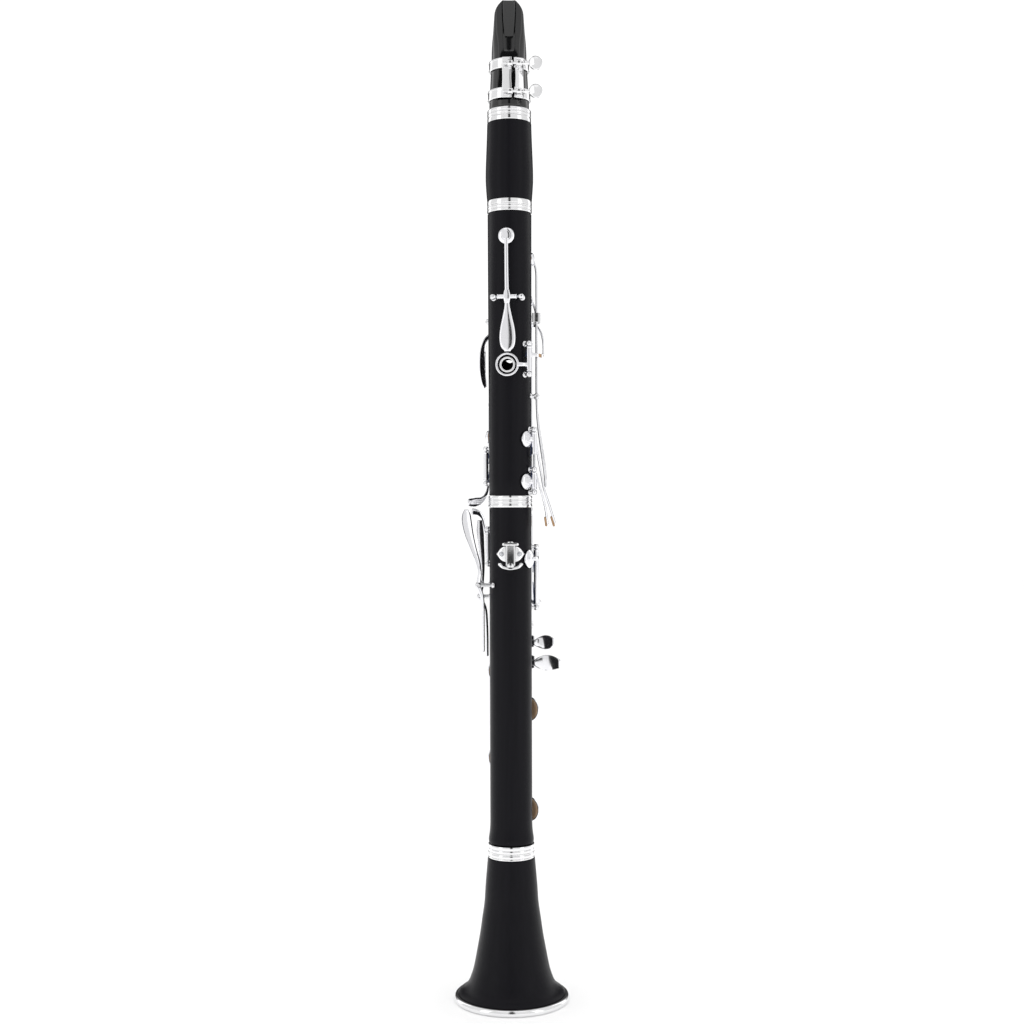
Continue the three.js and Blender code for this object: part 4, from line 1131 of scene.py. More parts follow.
class Ligature:
    """The metal band: two hoops, the plates beside the gap, the lugs and the two thumb screws."""

    low: float = 596.4
    high: float = 622.9
    band: float = 6.8
    inner: float = 13.5
    thick: float = 0.7
    taper: float = 1.0
    split: float = 2.6
    line: float = -16.2
    levels: tuple[float, float] = (599.6, 618.0)

    def hoop(self, skin: Skin, low: float, high: float) -> None:
        """Adds one hoop that runs round the front from one plate to the other."""
        thick = self.thick
        lean = self.taper * ((low + high) / 2 - self.low) / (self.high - self.low)
        middle = self.inner + thick / 2 - lean
        outer = middle + thick / 2
        start, end = -76.0, 256.0
        count = 64
        rows = []
        for i in range(count + 1):
            deg = start + (end - start) * i / count
            rings = []
            for radius, z in filleted([(middle - thick / 2, low), (middle + thick / 2, low),
                                       (middle + thick / 2, high), (middle - thick / 2, high)],
                                      0.3, 3, True):
                rings.append(at(radius, deg, z))
            rows.append(rings)
        skin.loft(rows)
        for z in (low + 0.9, high - 0.9):
            bead = [[at(outer + 0.22 * math.sin(a), start + (end - start) * i / count,
                        z + 0.42 * math.cos(a)) for a in [k * math.pi / 5 for k in range(10)]]
                    for i in range(count + 1)]
            skin.loft(bead)

    def dress(self) -> None:
        skin = Skin()
        self.hoop(skin, self.low, self.low + self.band)
        self.hoop(skin, self.high - self.band, self.high)
        for side in (-1, 1):
            x = self.split + side * 4.1
            y = -math.sqrt(13.9 ** 2 - x ** 2)
            skin.lever([(x, y, self.low + 0.2, 6.4), (x, y + 0.3, 604, 6.2), (x, y + 0.5, 610, 5.8),
                        (x, y + 0.8, 616, 6.2), (x, y + 1, self.high - 0.2, 6.4)], 0.9,
                       Vector((0.06 * x, -1, 0)), 5.0)
        for z in self.levels:
            for side in (-1, 1):
                x = self.split + side * 2.9 + 1.0
                place = facing(Vector((1, 0, 0)), Vector((x - 1.7, self.line, z)))
                barrel = filleted([(1.35, 0), (2.1, 0), (2.1, 3.4), (1.35, 3.4)], 0.35, 3, True)
                skin.lathe(barrel, place, 32, closed=True)
                skin.block((x - 1.3, -15, z - 1.7), (x + 1.3, -12.1, z + 1.7), 0.4)
        show(skin.piece("ligature_band", SILVER), "mouthpiece", "silver_fittings", "ligature")
        for i, z in enumerate(self.levels, 1):
            self.screw(i, z)

    def screw(self, index: int, z: float) -> None:
        """Makes one thumb screw: thread, shaft, neck and a flat round head."""
        skin = Skin()
        start = Vector((-4, self.line, z))
        across = facing(Vector((1, 0, 0)), start)
        thread = [(0, 0), (0.8, 0)]
        for turn in range(14):
            thread += [(1.0, 0.3 + turn * 0.45), (0.8, 0.5 + turn * 0.45)]
        thread += [(1.0, 7), (1.0, 13), (1.7, 13.2), (1.9, 14.4), (1.5, 15.6), (1.2, 16.6),
                   (1.3, 17.8), (0, 18.2)]
        skin.lathe(thread, across, 28)
        head = Vector((17.4, self.line, z))
        disc = [(0, -0.75), (2.6, -0.8), (3.5, -1.15), (4.1, -1.2), (4.5, -0.7), (4.5, 0.7),
                (4.1, 1.2), (3.5, 1.15), (2.6, 0.8), (0, 0.75)]
        skin.lathe(disc, facing(Vector((0.27, -0.96, 0)), head), 64)
        name = f"ligature_screw_{index}"
        show(skin.piece(name + "_paddle", SILVER), name, "silver_fittings", name)


# ------------------------------------------------------------------ thumb rest


class ThumbRest:
    """The thumb rest: a screwed plate with two rails and the hook that slides between them."""

    level: float = 296.4
    hook: float = 287.0

    def plate(self) -> bpy.types.Object:
        """Builds the plate, which is bent round the wood and pointed at both ends."""
        stations = []
        for deg, wide in ((-124, 1.2), (-121, 3.4), (-115, 7.2), (-107, 9.6), (-98, 10.6),
                          (-90, 10.8), (-82, 10.6), (-73, 9.6), (-65, 7.2), (-59, 3.4),
                          (-56, 1.2)):
            point = at(15.05, deg, self.level)
            stations.append((point.x, point.y, point.z, wide))
        skin = Skin().lever(stations, 1.3, power=5.0, steps=4)
        for side in (-1, 1):
            low, high = sorted((side * 2.6, side * 3.8))
            skin.block((low, -18.1, 293.1), (high, -14.9, 301.3), 0.35)
            skin.block((min(low, side * 1.9), -18.2, 293.1), (max(high, side * 1.9), -17.4, 301.3),
                       0.3)
        return skin.piece("thumb_rest_plate", SILVER)

    def screws(self) -> bpy.types.Object:
        """Builds the plate's two slotted screws."""
        head = [(0, -1.2), (1.7, -1.2), (1.7, 0.25), (1.45, 0.7), (0.8, 0.85), (0, 0.9)]
        shape = Skin().lathe(filleted(head, 0.2), Matrix(), 32)
        spots = []
        for deg in (-112.5, -67.5):
            spots.append((at(15.6, deg, self.level), at(1, deg, 0)))
        return scatter("thumb_rest_screws", shape, spots, STEEL)

    def slide(self) -> bpy.types.Object:
        """Builds the hook: a curved pad on a stem, with a strip between the rails, a cross bar and
        a thin plate.
        """
        level = self.hook
        skin = Skin()
        skin.lever([(-7, -22.3, level + 3, 5.6), (-4.4, -22.6, level + 0.9, 8.8),
                    (0, -22.7, level, 9.8), (4.4, -22.6, level + 0.9, 8.8),
                    (7, -22.3, level + 3, 5.6)], 1.9, Vector((0, 0, -1)), 3.6)
        skin.block((-2.2, -18.5, level - 0.6), (2.2, -16.8, 303.2), 0.5)
        skin.lever([(0, -17.8, 303.9, 3.8), (0, -18.3, 298, 4.2), (0, -18.8, 290, 4.4),
                    (0, -20.4, level + 0.4, 5)], 1.6, Vector((0, -1, 0)), 3.6)
        skin.lever([(-4.5, -19.5, 302.9, 1.9), (0, -19.5, 302.9, 2.1), (4.5, -19.5, 302.9, 1.9)],
                   1.8, Vector((0, -1, 0)), 2.6)
        skin.lever([(0, -18.9, 302.4, 5.8), (0, -18.9, 296, 6.2), (0, -19.2, level + 2, 6.2)], 0.8,
                   Vector((0, -1, 0)), 5.0)
        return skin.piece("thumb_rest_slide", SILVER)

    def dress(self) -> None:
        show(self.plate(), "lower_joint", "silver_fittings", "thumb_rest_base")
        show(self.screws(), "lower_joint", "silver_fittings")
        show(self.slide(), "thumb_rest_hook", "silver_fittings", "thumb_rest_hook")


# ------------------------------------------------------------------ rods, posts and springs


@dataclass(frozen=True)
class Line:
    """A hinge line: where it runs and where its posts stand.

    Attributes:
        node: The frame's node for the rod and its posts.
        start: One end.
        end: The other end.
        posts: How far along the line each post stands.
        feet: The point on the wood under each post.
    """

    node: str
    start: Vector
    end: Vector
    posts: tuple[float, ...]
    feet: tuple[Vector, ...]

    @property
    def way(self) -> Vector:
        """The line's direction."""
        return (self.end - self.start).normalized()

    def spot(self, along: float) -> Vector:
        """Returns the point that far along the line."""
        return self.start + self.way * along


def upright(node: str, deg: float, low: float, high: float, levels: Sequence[float],
            radius: float = 17.5, wood: float = 14.0) -> Line:
    """Returns a hinge line that runs along the bore."""
    return Line(node, at(radius, deg, low), at(radius, deg, high),
                tuple(z - low for z in levels), tuple(at(wood, deg, z) for z in levels))


def crosswise(node: str, deg: float, radius: float, z: float, half: float,
              wood: float = 14.0) -> Line:
    """Returns a hinge line that crosses the bore's direction."""
    middle, side = at(radius, deg, z), at(1, deg + 90, 0)
    depth = math.sqrt(wood ** 2 - (half - 1.2) ** 2)
    feet = tuple(at(depth, deg, z) + side * offset for offset in (-half, half))
    return Line(node, middle - side * half, middle + side * half, (0, 2 * half), feet)


def sideways(node: str, x: float, z: float, posts: Sequence[float], wood: float = 14.0) -> Line:
    """Returns a hinge line that runs along Y at the side of the bore."""
    low, high = posts[0], posts[-1]
    sign = math.copysign(1, x)
    feet = tuple(Vector((sign * math.sqrt(wood ** 2 - max(0.0, abs(y) - 1.2) ** 2), y, z))
                 for y in posts)
    return Line(node, Vector((x, low, z)), Vector((x, high, z)),
                tuple(y - low for y in posts), feet)


UPPER_LINES = {line.node: line for line in (
    crosswise("register_key_rod", -95.6, 18.2, 464.8, 9.3, 14.3),
    upright("thumb_key_rod", -47, 414.4, 434.7, (414.4, 434.7), 18.3, 14.3),
    upright("upper_front_rod", 40, 344.5, 454.5, (344.5, 436.6, 454.5), wood=14.2),
    crosswise("throat_a_rod", 93, 17.6, 461, 5.2, 14.3),
    crosswise("throat_gs_rod", 128, 17.6, 452, 4.6, 14.3),
    sideways("trill_key_rod", 17.6, 401, (-3, 8.3), 14.2),
    upright("side_key_rod", -25, 336.9, 378.6, (336.9, 352, 378.6), wood=14.1),
    upright("sliver_eb_rod", 138, 369, 396, (369, 396), wood=14.2),
    upright("cs_gs_rod", 158, 343, 366.2, (343, 366.2), wood=14.1),
)}
LOWER_LINES = {line.node: line for line in (
    upright("lower_ring_rod", 40, 247.2, 325.4, (247.2, 325.4)),
    upright("sliver_b_rod", 12, 260.2, 300.8, (260.2, 300.8)),
    upright("right_long_rod", 76, 114, 229.2, (114, 186, 229.2), 17.4),
    upright("left_long_rod", 104, 152.6, 240.4, (152.6, 202, 240.4), 17.4),
    sideways("lh_e_b_rod", -21.5, 275.6, (-8.6, -0.3)),
    sideways("lh_fs_cs_rod", -20.5, 267.6, (1.4, 8.6)),
    upright("lh_f_c_rod", 150, 289, 312.6, (289, 312.6)),
)}


@dataclass
class Posts:
    """The posts, rods and pivot screws on one joint.

    Attributes:
        body: The joint's body.
        lines: Its hinge lines.
    """

    body: Body
    lines: dict[str, Line]

    def heads(self) -> bpy.types.Object:
        """Builds the round heads, each with the groove round its pivot screw."""
        shape = filleted([(0, -1.45), (0.72, -1.45), (0.74, -1.72), (1.2, -1.7), (1.85, -0.85),
                          (1.93, 0), (1.85, 0.85), (1.2, 1.7), (0.74, 1.72), (0.72, 1.45),
                          (0, 1.45)], 0.22, 3)
        spots = [(line.spot(p), line.way) for line in self.lines.values() for p in line.posts]
        skin = Skin().lathe(shape, Matrix(), 28)
        return scatter(f"{self.body.value}_post_heads", skin, spots, POST_SILVER)

    def feet(self) -> bpy.types.Object:
        """Builds the low collars where the posts meet the wood."""
        shape = filleted([(0, -1.2), (1.95, -1.2), (1.95, 0.3), (1.25, 0.75), (0, 0.8)], 0.25, 3)
        spots = [(foot, line.spot(p) - foot) for line in self.lines.values()
                 for p, foot in zip(line.posts, line.feet)]
        skin = Skin().lathe(shape, Matrix(), 28)
        return scatter(f"{self.body.value}_post_feet", skin, spots, POST_SILVER)

    def stems(self) -> bpy.types.Object:
        """Builds the stems between the collars and the heads."""
        paths = [[foot - (line.spot(p) - foot).normalized() * 0.8, line.spot(p)]
                 for line in self.lines.values() for p, foot in zip(line.posts, line.feet)]
        return wires(f"{self.body.value}_post_stems", paths, 1.05, POST_SILVER)

    def rods(self) -> bpy.types.Object:
        """Builds the steel rods."""
        paths = [[line.start, line.end] for line in self.lines.values()]
        return wires(f"{self.body.value}_rods", paths, SIZE.rod, STEEL)

    def springs(self) -> bpy.types.Object:
        """Builds the needle springs, each run from a post along its key's sleeve."""
        paths = []
        for line in self.lines.values():
            length = (line.end - line.start).length
            if length < 20:
                continue
            side = line.way.cross(line.feet[0] - line.start).normalized()
            inward = (line.feet[0] - line.start).normalized()
            lift = 2.3 * inward + 0.4 * side
            reach = min(26.0, length * 0.42)
            for mark, sign in ((line.posts[0], 1), (line.posts[-1], -1)):
                root = line.spot(mark) + inward * 1.4
                tip = line.spot(mark + sign * reach) + lift
                paths.append([root, root * 0.5 + tip * 0.5 + side * 0.15, tip])
        return wires(f"{self.body.value}_needle_springs", paths, 0.28, BLUED)

    def dress(self) -> None:
        body = self.body.value
        show(self.heads(), body, "key_posts", *self.lines)
        show(self.feet(), body, "key_posts")
        show(self.stems(), body, "key_posts")
        show(self.rods(), body, "key_posts")
        show(self.springs(), body, "springs")


# ------------------------------------------------------------------ keys


def around(*stations: Station) -> list[Station]:
    """Turns radius, degrees, z and width stations into x, y, z and width ones."""
    made = []
    for radius, deg, z, wide in stations:
        point = at(radius, deg, z)
        made.append((point.x, point.y, point.z, wide))
    return made


RIGHT = Vector((1, 0, 0))
TURNED_LEFT = Vector((-0.4, 0.92, 0))


@dataclass(frozen=True)
class Arm:
    """A rounded bar of a key.

    Attributes:
        path: x, y, z and width stations.
        thick: Its thickness.
        out: Where its broad face looks. Away from the bore where it is None.
        power: How square its section is.
        follows: Whether it swings with the pad.
    """

    path: Sequence[Station]
    thick: float = 1.5
    out: Vector | None = None
    power: float = 3.2
    follows: bool = False


@dataclass
class Key:
    """A key with its sleeve, arms, rings, cup, pad and corks.

    Attributes:
        name: The node and the body.
        line: Its hinge line.
        sleeve: Where the sleeve starts and ends along the line.
        arms: Its bars.
        pad: The label of its pad.
        swing: How far the pad stands open, in degrees about the line.
        rings: The angle and height of each finger ring.
        corks: Cork or pad slabs as bars.
    """

    name: str
    line: Line
    sleeve: tuple[float, float]
    arms: Sequence[Arm]
    pad: str = ""
    swing: float = 0.0
    rings: Sequence[tuple[float, float]] = ()
    corks: Sequence[Arm] = ()

    def add_sleeve(self, skin: Skin) -> None:
        """Adds the sleeve, a tube with a collar at each end."""
        low, high = self.sleeve
        long = high - low
        inner, outer = 1.12, SIZE.tube
        wall = [(inner, 0), (outer + 0.12, 0), (outer + 0.12, 0.7), (outer - 0.1, 1.0),
                (outer - 0.05, 1.3), (outer - 0.05, long - 1.3), (outer - 0.1, long - 1.0),
                (outer + 0.12, long - 0.7), (outer + 0.12, long), (inner, long)]
        place = facing(self.line.way, self.line.spot(low))
        skin.lathe(filleted(wall, 0.18, 3, True), place, 28, closed=True)

    def add_ring(self, skin: Skin, deg: float, z: float) -> None:
        """Adds a finger ring with a rounded section."""
        section = filleted([(6.35, 16.3), (7.75, 16.3), (7.75, 17.6), (6.35, 17.6)], 0.62, 5, True)
        skin.lathe(section, outward(deg, z), 64, closed=True)

    def add_arm(self, skin: Skin, arm: Arm) -> None:
        """Adds a bar, swung with the pad where it follows it."""
        start = len(skin.points)
        skin.lever(arm.path, arm.thick, arm.out, arm.power)
        if arm.follows:
            skin.swung(start, self.line.start, self.swing)

    def place(self) -> tuple[Matrix, float, float]:
        """Returns the cup's placement, its lowest radius and its own radius."""
        pad = PADS[self.pad]
        return outward(pad.deg, pad.z), pad.seat + SIZE.gap, pad.radius

    def add_cup(self, skin: Skin) -> None:
        """Adds the domed cup with its rolled edge and its flat crown."""
        place, under, radius = self.place()
        start = len(skin.points)
        dome = [(0, under + 1.2), (radius - 0.68, under + 1.2), (radius - 0.6, under + 0.5),
                (radius - 0.05, under + 0.5), (radius, under + 0.8), (radius - 0.02, under + 1.35),
                (radius * 0.93, under + 1.75), (radius * 0.80, under + 2.15),
                (radius * 0.62, under + 2.42), (radius * 0.56, under + 2.45),
                (radius * 0.54, under + 2.66), (radius * 0.48, under + 2.76),
                (radius * 0.25, under + 2.86), (0, under + 2.9)]
        skin.lathe(dome, place, 56)
        skin.swung(start, self.line.start, self.swing)

    def pad_disc(self) -> bpy.types.Object:
        """Builds the pad: a soft disc with a shallow ring pressed into it."""
        place, under, radius = self.place()
        dent = radius * 0.56
        face = [(0, under + 0.1), (dent - 0.5, under + 0.08), (dent, under + 0.24),
                (dent + 0.5, under + 0.06), (radius - 1.5, under), (radius - 0.9, under + 0.16),
                (radius - 0.7, under + 0.5), (radius - 0.7, under + 1.1), (0, under + 1.22)]
        skin = Skin().lathe(face, place, 56).swung(0, self.line.start, self.swing)
        return skin.piece(self.name + "_pad", PAD_SKIN)

    def dress(self) -> None:
        skin = Skin()
        self.add_sleeve(skin)
        for arm in self.arms:
            self.add_arm(skin, arm)
        for deg, z in self.rings:
            self.add_ring(skin, deg, z)
        if self.pad:
            self.add_cup(skin)
        show(skin.piece(self.name + "_metal", KEY_SILVER), self.name, "key_silver", self.name)
        if self.pad:
            disc = show(self.pad_disc(), self.name, "key_pads")
        if self.corks:
            soft = Skin()
            for arm in self.corks:
                self.add_arm(soft, arm)
            show(soft.piece(self.name + "_cork", CORK), self.name, "cork")


@dataclass
class RegisterKey(Key):
    """The register key, whose cup lies on its raised tube."""

    tube_deg: float = -97.0
    tube_z: float = 504.7
    tube_top: float = 16.5
    cup_radius: float = 5.3

    def place(self) -> tuple[Matrix, float, float]:
        """Returns the cup's placement over the register tube."""
        return outward(self.tube_deg, self.tube_z), self.tube_top, self.cup_radius


def ring_arm(z: float) -> Arm:
    """Returns the arm from the right front hinge line to a finger ring."""
    return Arm(around((17.5, 40, z, 3.2), (18.6, 53, z, 2.4), (18.2, 67, z, 2.6)))


def pad_arm(deg: float, label: str) -> Arm:
    """Returns the arm from a long rod to its pad."""
    pad = PADS[label]
    step = (pad.deg - deg) / 8
    return Arm(around((17.4, deg, pad.z, 3.6), (18.4, deg + step * 2.4, pad.z, 3),
                      (17.4, deg + step * 5, pad.z, 3), (15.9, deg + step * 7.2, pad.z, 2.2)),
               follows=True)


# ------------------------------------------------------------------ keys of the upper joint


def span(line: Line, low: float, high: float) -> tuple[float, float]:
    """Returns how far along an upright line two heights are."""
    return low - line.start.z, high - line.start.z


class UpperKeys:
    """The keys of the upper joint."""

    lines: dict[str, Line] = UPPER_LINES

    def register(self) -> Key:
        """Returns the register key, which rocks behind the thumb."""
        line = self.lines["register_key_rod"]
        handle = around(
            (18.6, -96.9, 503, 2.6), (19.3, -96.5, 497, 2.4), (19.2, -96.2, 480, 2.5),
            (18.7, -95.6, 464.8, 2.8), (18.5, -95.3, 458, 3.6), (18.4, -95.1, 451, 6.4),
            (18.3, -95, 444.5, 9.2), (18.2, -95, 438.5, 10.4), (18.0, -95, 434, 9.6),
            (17.9, -95, 431.4, 7.6), (17.8, -95, 429.8, 4.6))
        saddle = around((19.0, -95.8, 468.6, 3.4), (19.3, -95.6, 464.8, 4.6),
                        (18.9, -95.5, 461, 3.4))
        return RegisterKey("register_key", line, (2.9, 15.7), [
            Arm(handle, 1.7, power=2.0), Arm(saddle, 1.6)], pad="register")

    def thumb(self) -> Key:
        """Returns the thumb ring key with the arm that opens the first finger's vent."""
        line = self.lines["thumb_key_rod"]
        link = around((18.4, -74, 420.6, 3), (18.7, -60, 420.6, 2.4), (18.3, -47, 420.6, 3.4))
        tail = around((18.3, -47, 427.5, 3.4), (19.4, -33, 427.5, 2.4), (19.9, -20, 427.5, 2.2),
                      (19.9, -11, 427.5, 2.6))
        tip = around((20.8, -20, 427.5, 2.3), (20.9, -10.5, 427.5, 2.5))
        return Key("thumb_ring_key", line, span(line, 416.4, 432.7), [Arm(link), Arm(tail)],
                   rings=[(THUMB_DEG, THUMB_Z)], corks=[Arm(tip, 0.7)])

    def vent(self) -> Key:
        """Returns the first finger's vent key."""
        line = self.lines["upper_front_rod"]
        arm = around((17.5, 40, 443, 3.4), (18.4, 50, 442.5, 2.6), (17.9, 62, 441.5, 2.2))
        foot = around((17.5, 40, 450, 3), (21.3, 31, 448.5, 2.2), (22.7, 16, 441, 2.2),
                      (22.2, -4, 429.5, 2.2), (21.7, -12, 427.5, 2.6))
        return Key("f_vent_key", line, span(line, 438.6, 452.5),
                   [Arm(arm), Arm(foot, 1.2)], pad="f_vent", swing=-5.25)

    def rings(self) -> Key:
        """Returns the key of the two upper rings and its bridge."""
        line = self.lines["upper_front_rod"]
        bridge = around((17.5, 40, 348.5, 3.6), (19.8, 50, 347.5, 3.2), (20.4, 60, 345, 3),
                        (20.2, 64, 340, 3.4))
        return Key("upper_ring_key", line, span(line, 346.6, 434.5),
                   [ring_arm(HOLES[0][0]), ring_arm(HOLES[1][0]), Arm(bridge)],
                   rings=[(SIZE.front, HOLES[0][0]), (SIZE.front, HOLES[1][0])])

    def throat_a(self) -> Key:
        """Returns the A key."""
        line = self.lines["throat_a_rod"]
        handle = around((16.6, 93, 477, 2.2), (17.7, 93, 472, 2.4), (18, 93, 461, 2.8),
                        (18.4, 95, 452, 2.8), (18.6, 100, 446.5, 6.2), (18.5, 101.5, 441.5, 6.6),
                        (18.3, 102, 438.6, 4.2))
        return Key("throat_a_key", line, (2.3, 8.1), [Arm(handle)], pad="throat_a")

    def throat_gs(self) -> Key:
        """Returns the G sharp key with its long crescent touch."""
        line = self.lines["throat_gs_rod"]
        handle = around((16.8, 125, 469, 2.2), (17.8, 126, 463, 2.4), (18, 128, 452, 2.8),
                        (18.4, 137, 443.5, 3), (18.9, 152, 438, 4.8), (19.1, 163, 430, 6.8),
                        (18.9, 167, 420, 7.4), (18.4, 164, 412.5, 6.4), (18, 158, 408, 3.6))
        return Key("throat_gs_key", line, (2.1, 7.1), [Arm(handle, out=at(1, 148, 0))],
                   pad="throat_gs")

    def trills(self) -> list[Key]:
        """Returns the two upper side keys, which share a rod."""
        line = self.lines["trill_key_rod"]
        upper = [(16.3, 0.8, 490, 2.2), (17.6, 0.6, 484, 2.4), (17.8, 0.6, 470, 2.3),
                 (17.8, 0.6, 401, 2.6), (18.6, 0.4, 382, 2.8), (20.6, 1, 366, 4.6),
                 (22.6, 1.8, 352, 5.2), (23.6, 2, 341, 4.2)]
        lower = [(15.1, 7.4, 464.5, 2.2), (17, 6.2, 459, 2.3), (17.7, 5.2, 448, 2.3),
                 (17.7, 5.2, 401, 2.6), (18.8, 6, 384, 2.8), (21, 7.6, 369, 4.6),
                 (23, 8.4, 356, 5.4), (23.8, 8.6, 346, 4.2)]
        return [
            Key("side_key_4", line, (1.8, 5.4), [Arm(upper, out=RIGHT, power=2.6)], pad="side_4"),
            Key("side_key_3", line, (6.2, 9.5), [Arm(lower, out=RIGHT, power=2.6)], pad="side_3"),
        ]

    def sides(self) -> list[Key]:
        """Returns the two lower side keys, whose touches carry cork at the end."""
        line = self.lines["side_key_rod"]
        second = [(17, -6.6, 371, 2.8), (18.6, -5.6, 360, 3), (20.4, -4.6, 350, 3.6),
                  (22.4, -3.8, 339, 4.4), (26, -1.6, 328, 5), (29.4, 0.6, 317, 4.6)]
        first = [(17.2, -7.4, 349, 3), (19, -8, 342, 3.2), (21.4, -7.4, 334, 4.2),
                 (23.4, -5.8, 325, 5), (24.6, -4.4, 316, 4.6)]
        return [
            Key("side_key_2", line, span(line, 362, 376.6),
                [Arm(around((17.5, -25, 372, 4.2), (16.9, -31, 372, 3.4), (16.3, -36, 372, 3))),
                 Arm(second, out=RIGHT, power=2.6)], pad="side_2",
                corks=[Arm([(27.3, -0.4, 320.3, 4.2), (28.3, 0.3, 317, 4.2),
                            (28.9, 0.7, 315.2, 3.8)], 1.5, RIGHT)]),
            Key("side_key_1", line, span(line, 339, 350),
                [Arm(around((17.5, -25, 344, 4.2), (16.9, -31, 344, 3.4), (16.3, -36, 344, 3))),
                 Arm(first, out=RIGHT, power=2.6)], pad="side_1",
                corks=[Arm([(23.0, -4.9, 320.0, 4.2), (23.5, -4.5, 317, 4.2),
                            (23.7, -4.3, 315.2, 3.8)], 1.5, RIGHT)]),
        ]

    def slivers(self) -> list[Key]:
        """Returns the small key between the rings and the fork key of the left hand."""
        small, fork = self.lines["sliver_eb_rod"], self.lines["cs_gs_rod"]
        reach = [(-15.4, 8.8, 350, 3), (-14.8, 10.8, 343, 3.4), (-15.8, 11, 336.5, 4),
                 (-18.8, 8.4, 332, 5), (-23.5, 3.4, 330.6, 6), (-27.8, 0, 330.4, 5)]
        return [
            Key("sliver_eb_key", small, span(small, 371.1, 393.9),
                [Arm(around((17.5, 138, 375, 3.6), (17.6, 152, 374.4, 2.6), (16.2, 163, 374, 2.2))),
                 Arm(around((17.5, 138, 387, 3.4), (18.4, 126, 387, 4), (18.2, 114, 387, 6.8),
                            (17.7, 105, 387, 5.4)), power=2.4)], pad="sliver_eb"),
            Key("cs_gs_key", fork, span(fork, 345.2, 364),
                [Arm(around((17.5, 158, 357, 3.6), (18.4, 145, 357, 2.6), (17.2, 133, 357, 2.6),
                            (16.1, 125, 357, 2.2))), Arm(reach, 1.6, power=2.5)], pad="cs_gs"),
        ]

    def guide(self) -> bpy.types.Object:
        """Builds the forked guide of the two trill levers, with its screw plate."""
        skin = Skin()
        skin.block((14.9, -2.4, 450), (15.9, 8.5, 456.5), 0.3)
        for low, high in ((-2.4, -1.4), (2.5, 3.4), (7.6, 8.5)):
            skin.block((15.2, low, 450.2), (20.5, high, 456.3), 0.3)
        return skin.piece("side_key_fork_guide", SILVER)

    def dress(self) -> None:
        """Builds every key and the guide and attaches them to their bodies."""
        keys = [self.register(), self.thumb(), self.vent(), self.rings(), self.throat_a(),
                self.throat_gs(), *self.trills(), *self.sides(), *self.slivers()]
        for key in keys:
            key.dress()
        show(self.guide(), "upper_joint", "silver_fittings", "side_key_guide")


# ------------------------------------------------------------------ keys of the lower joint


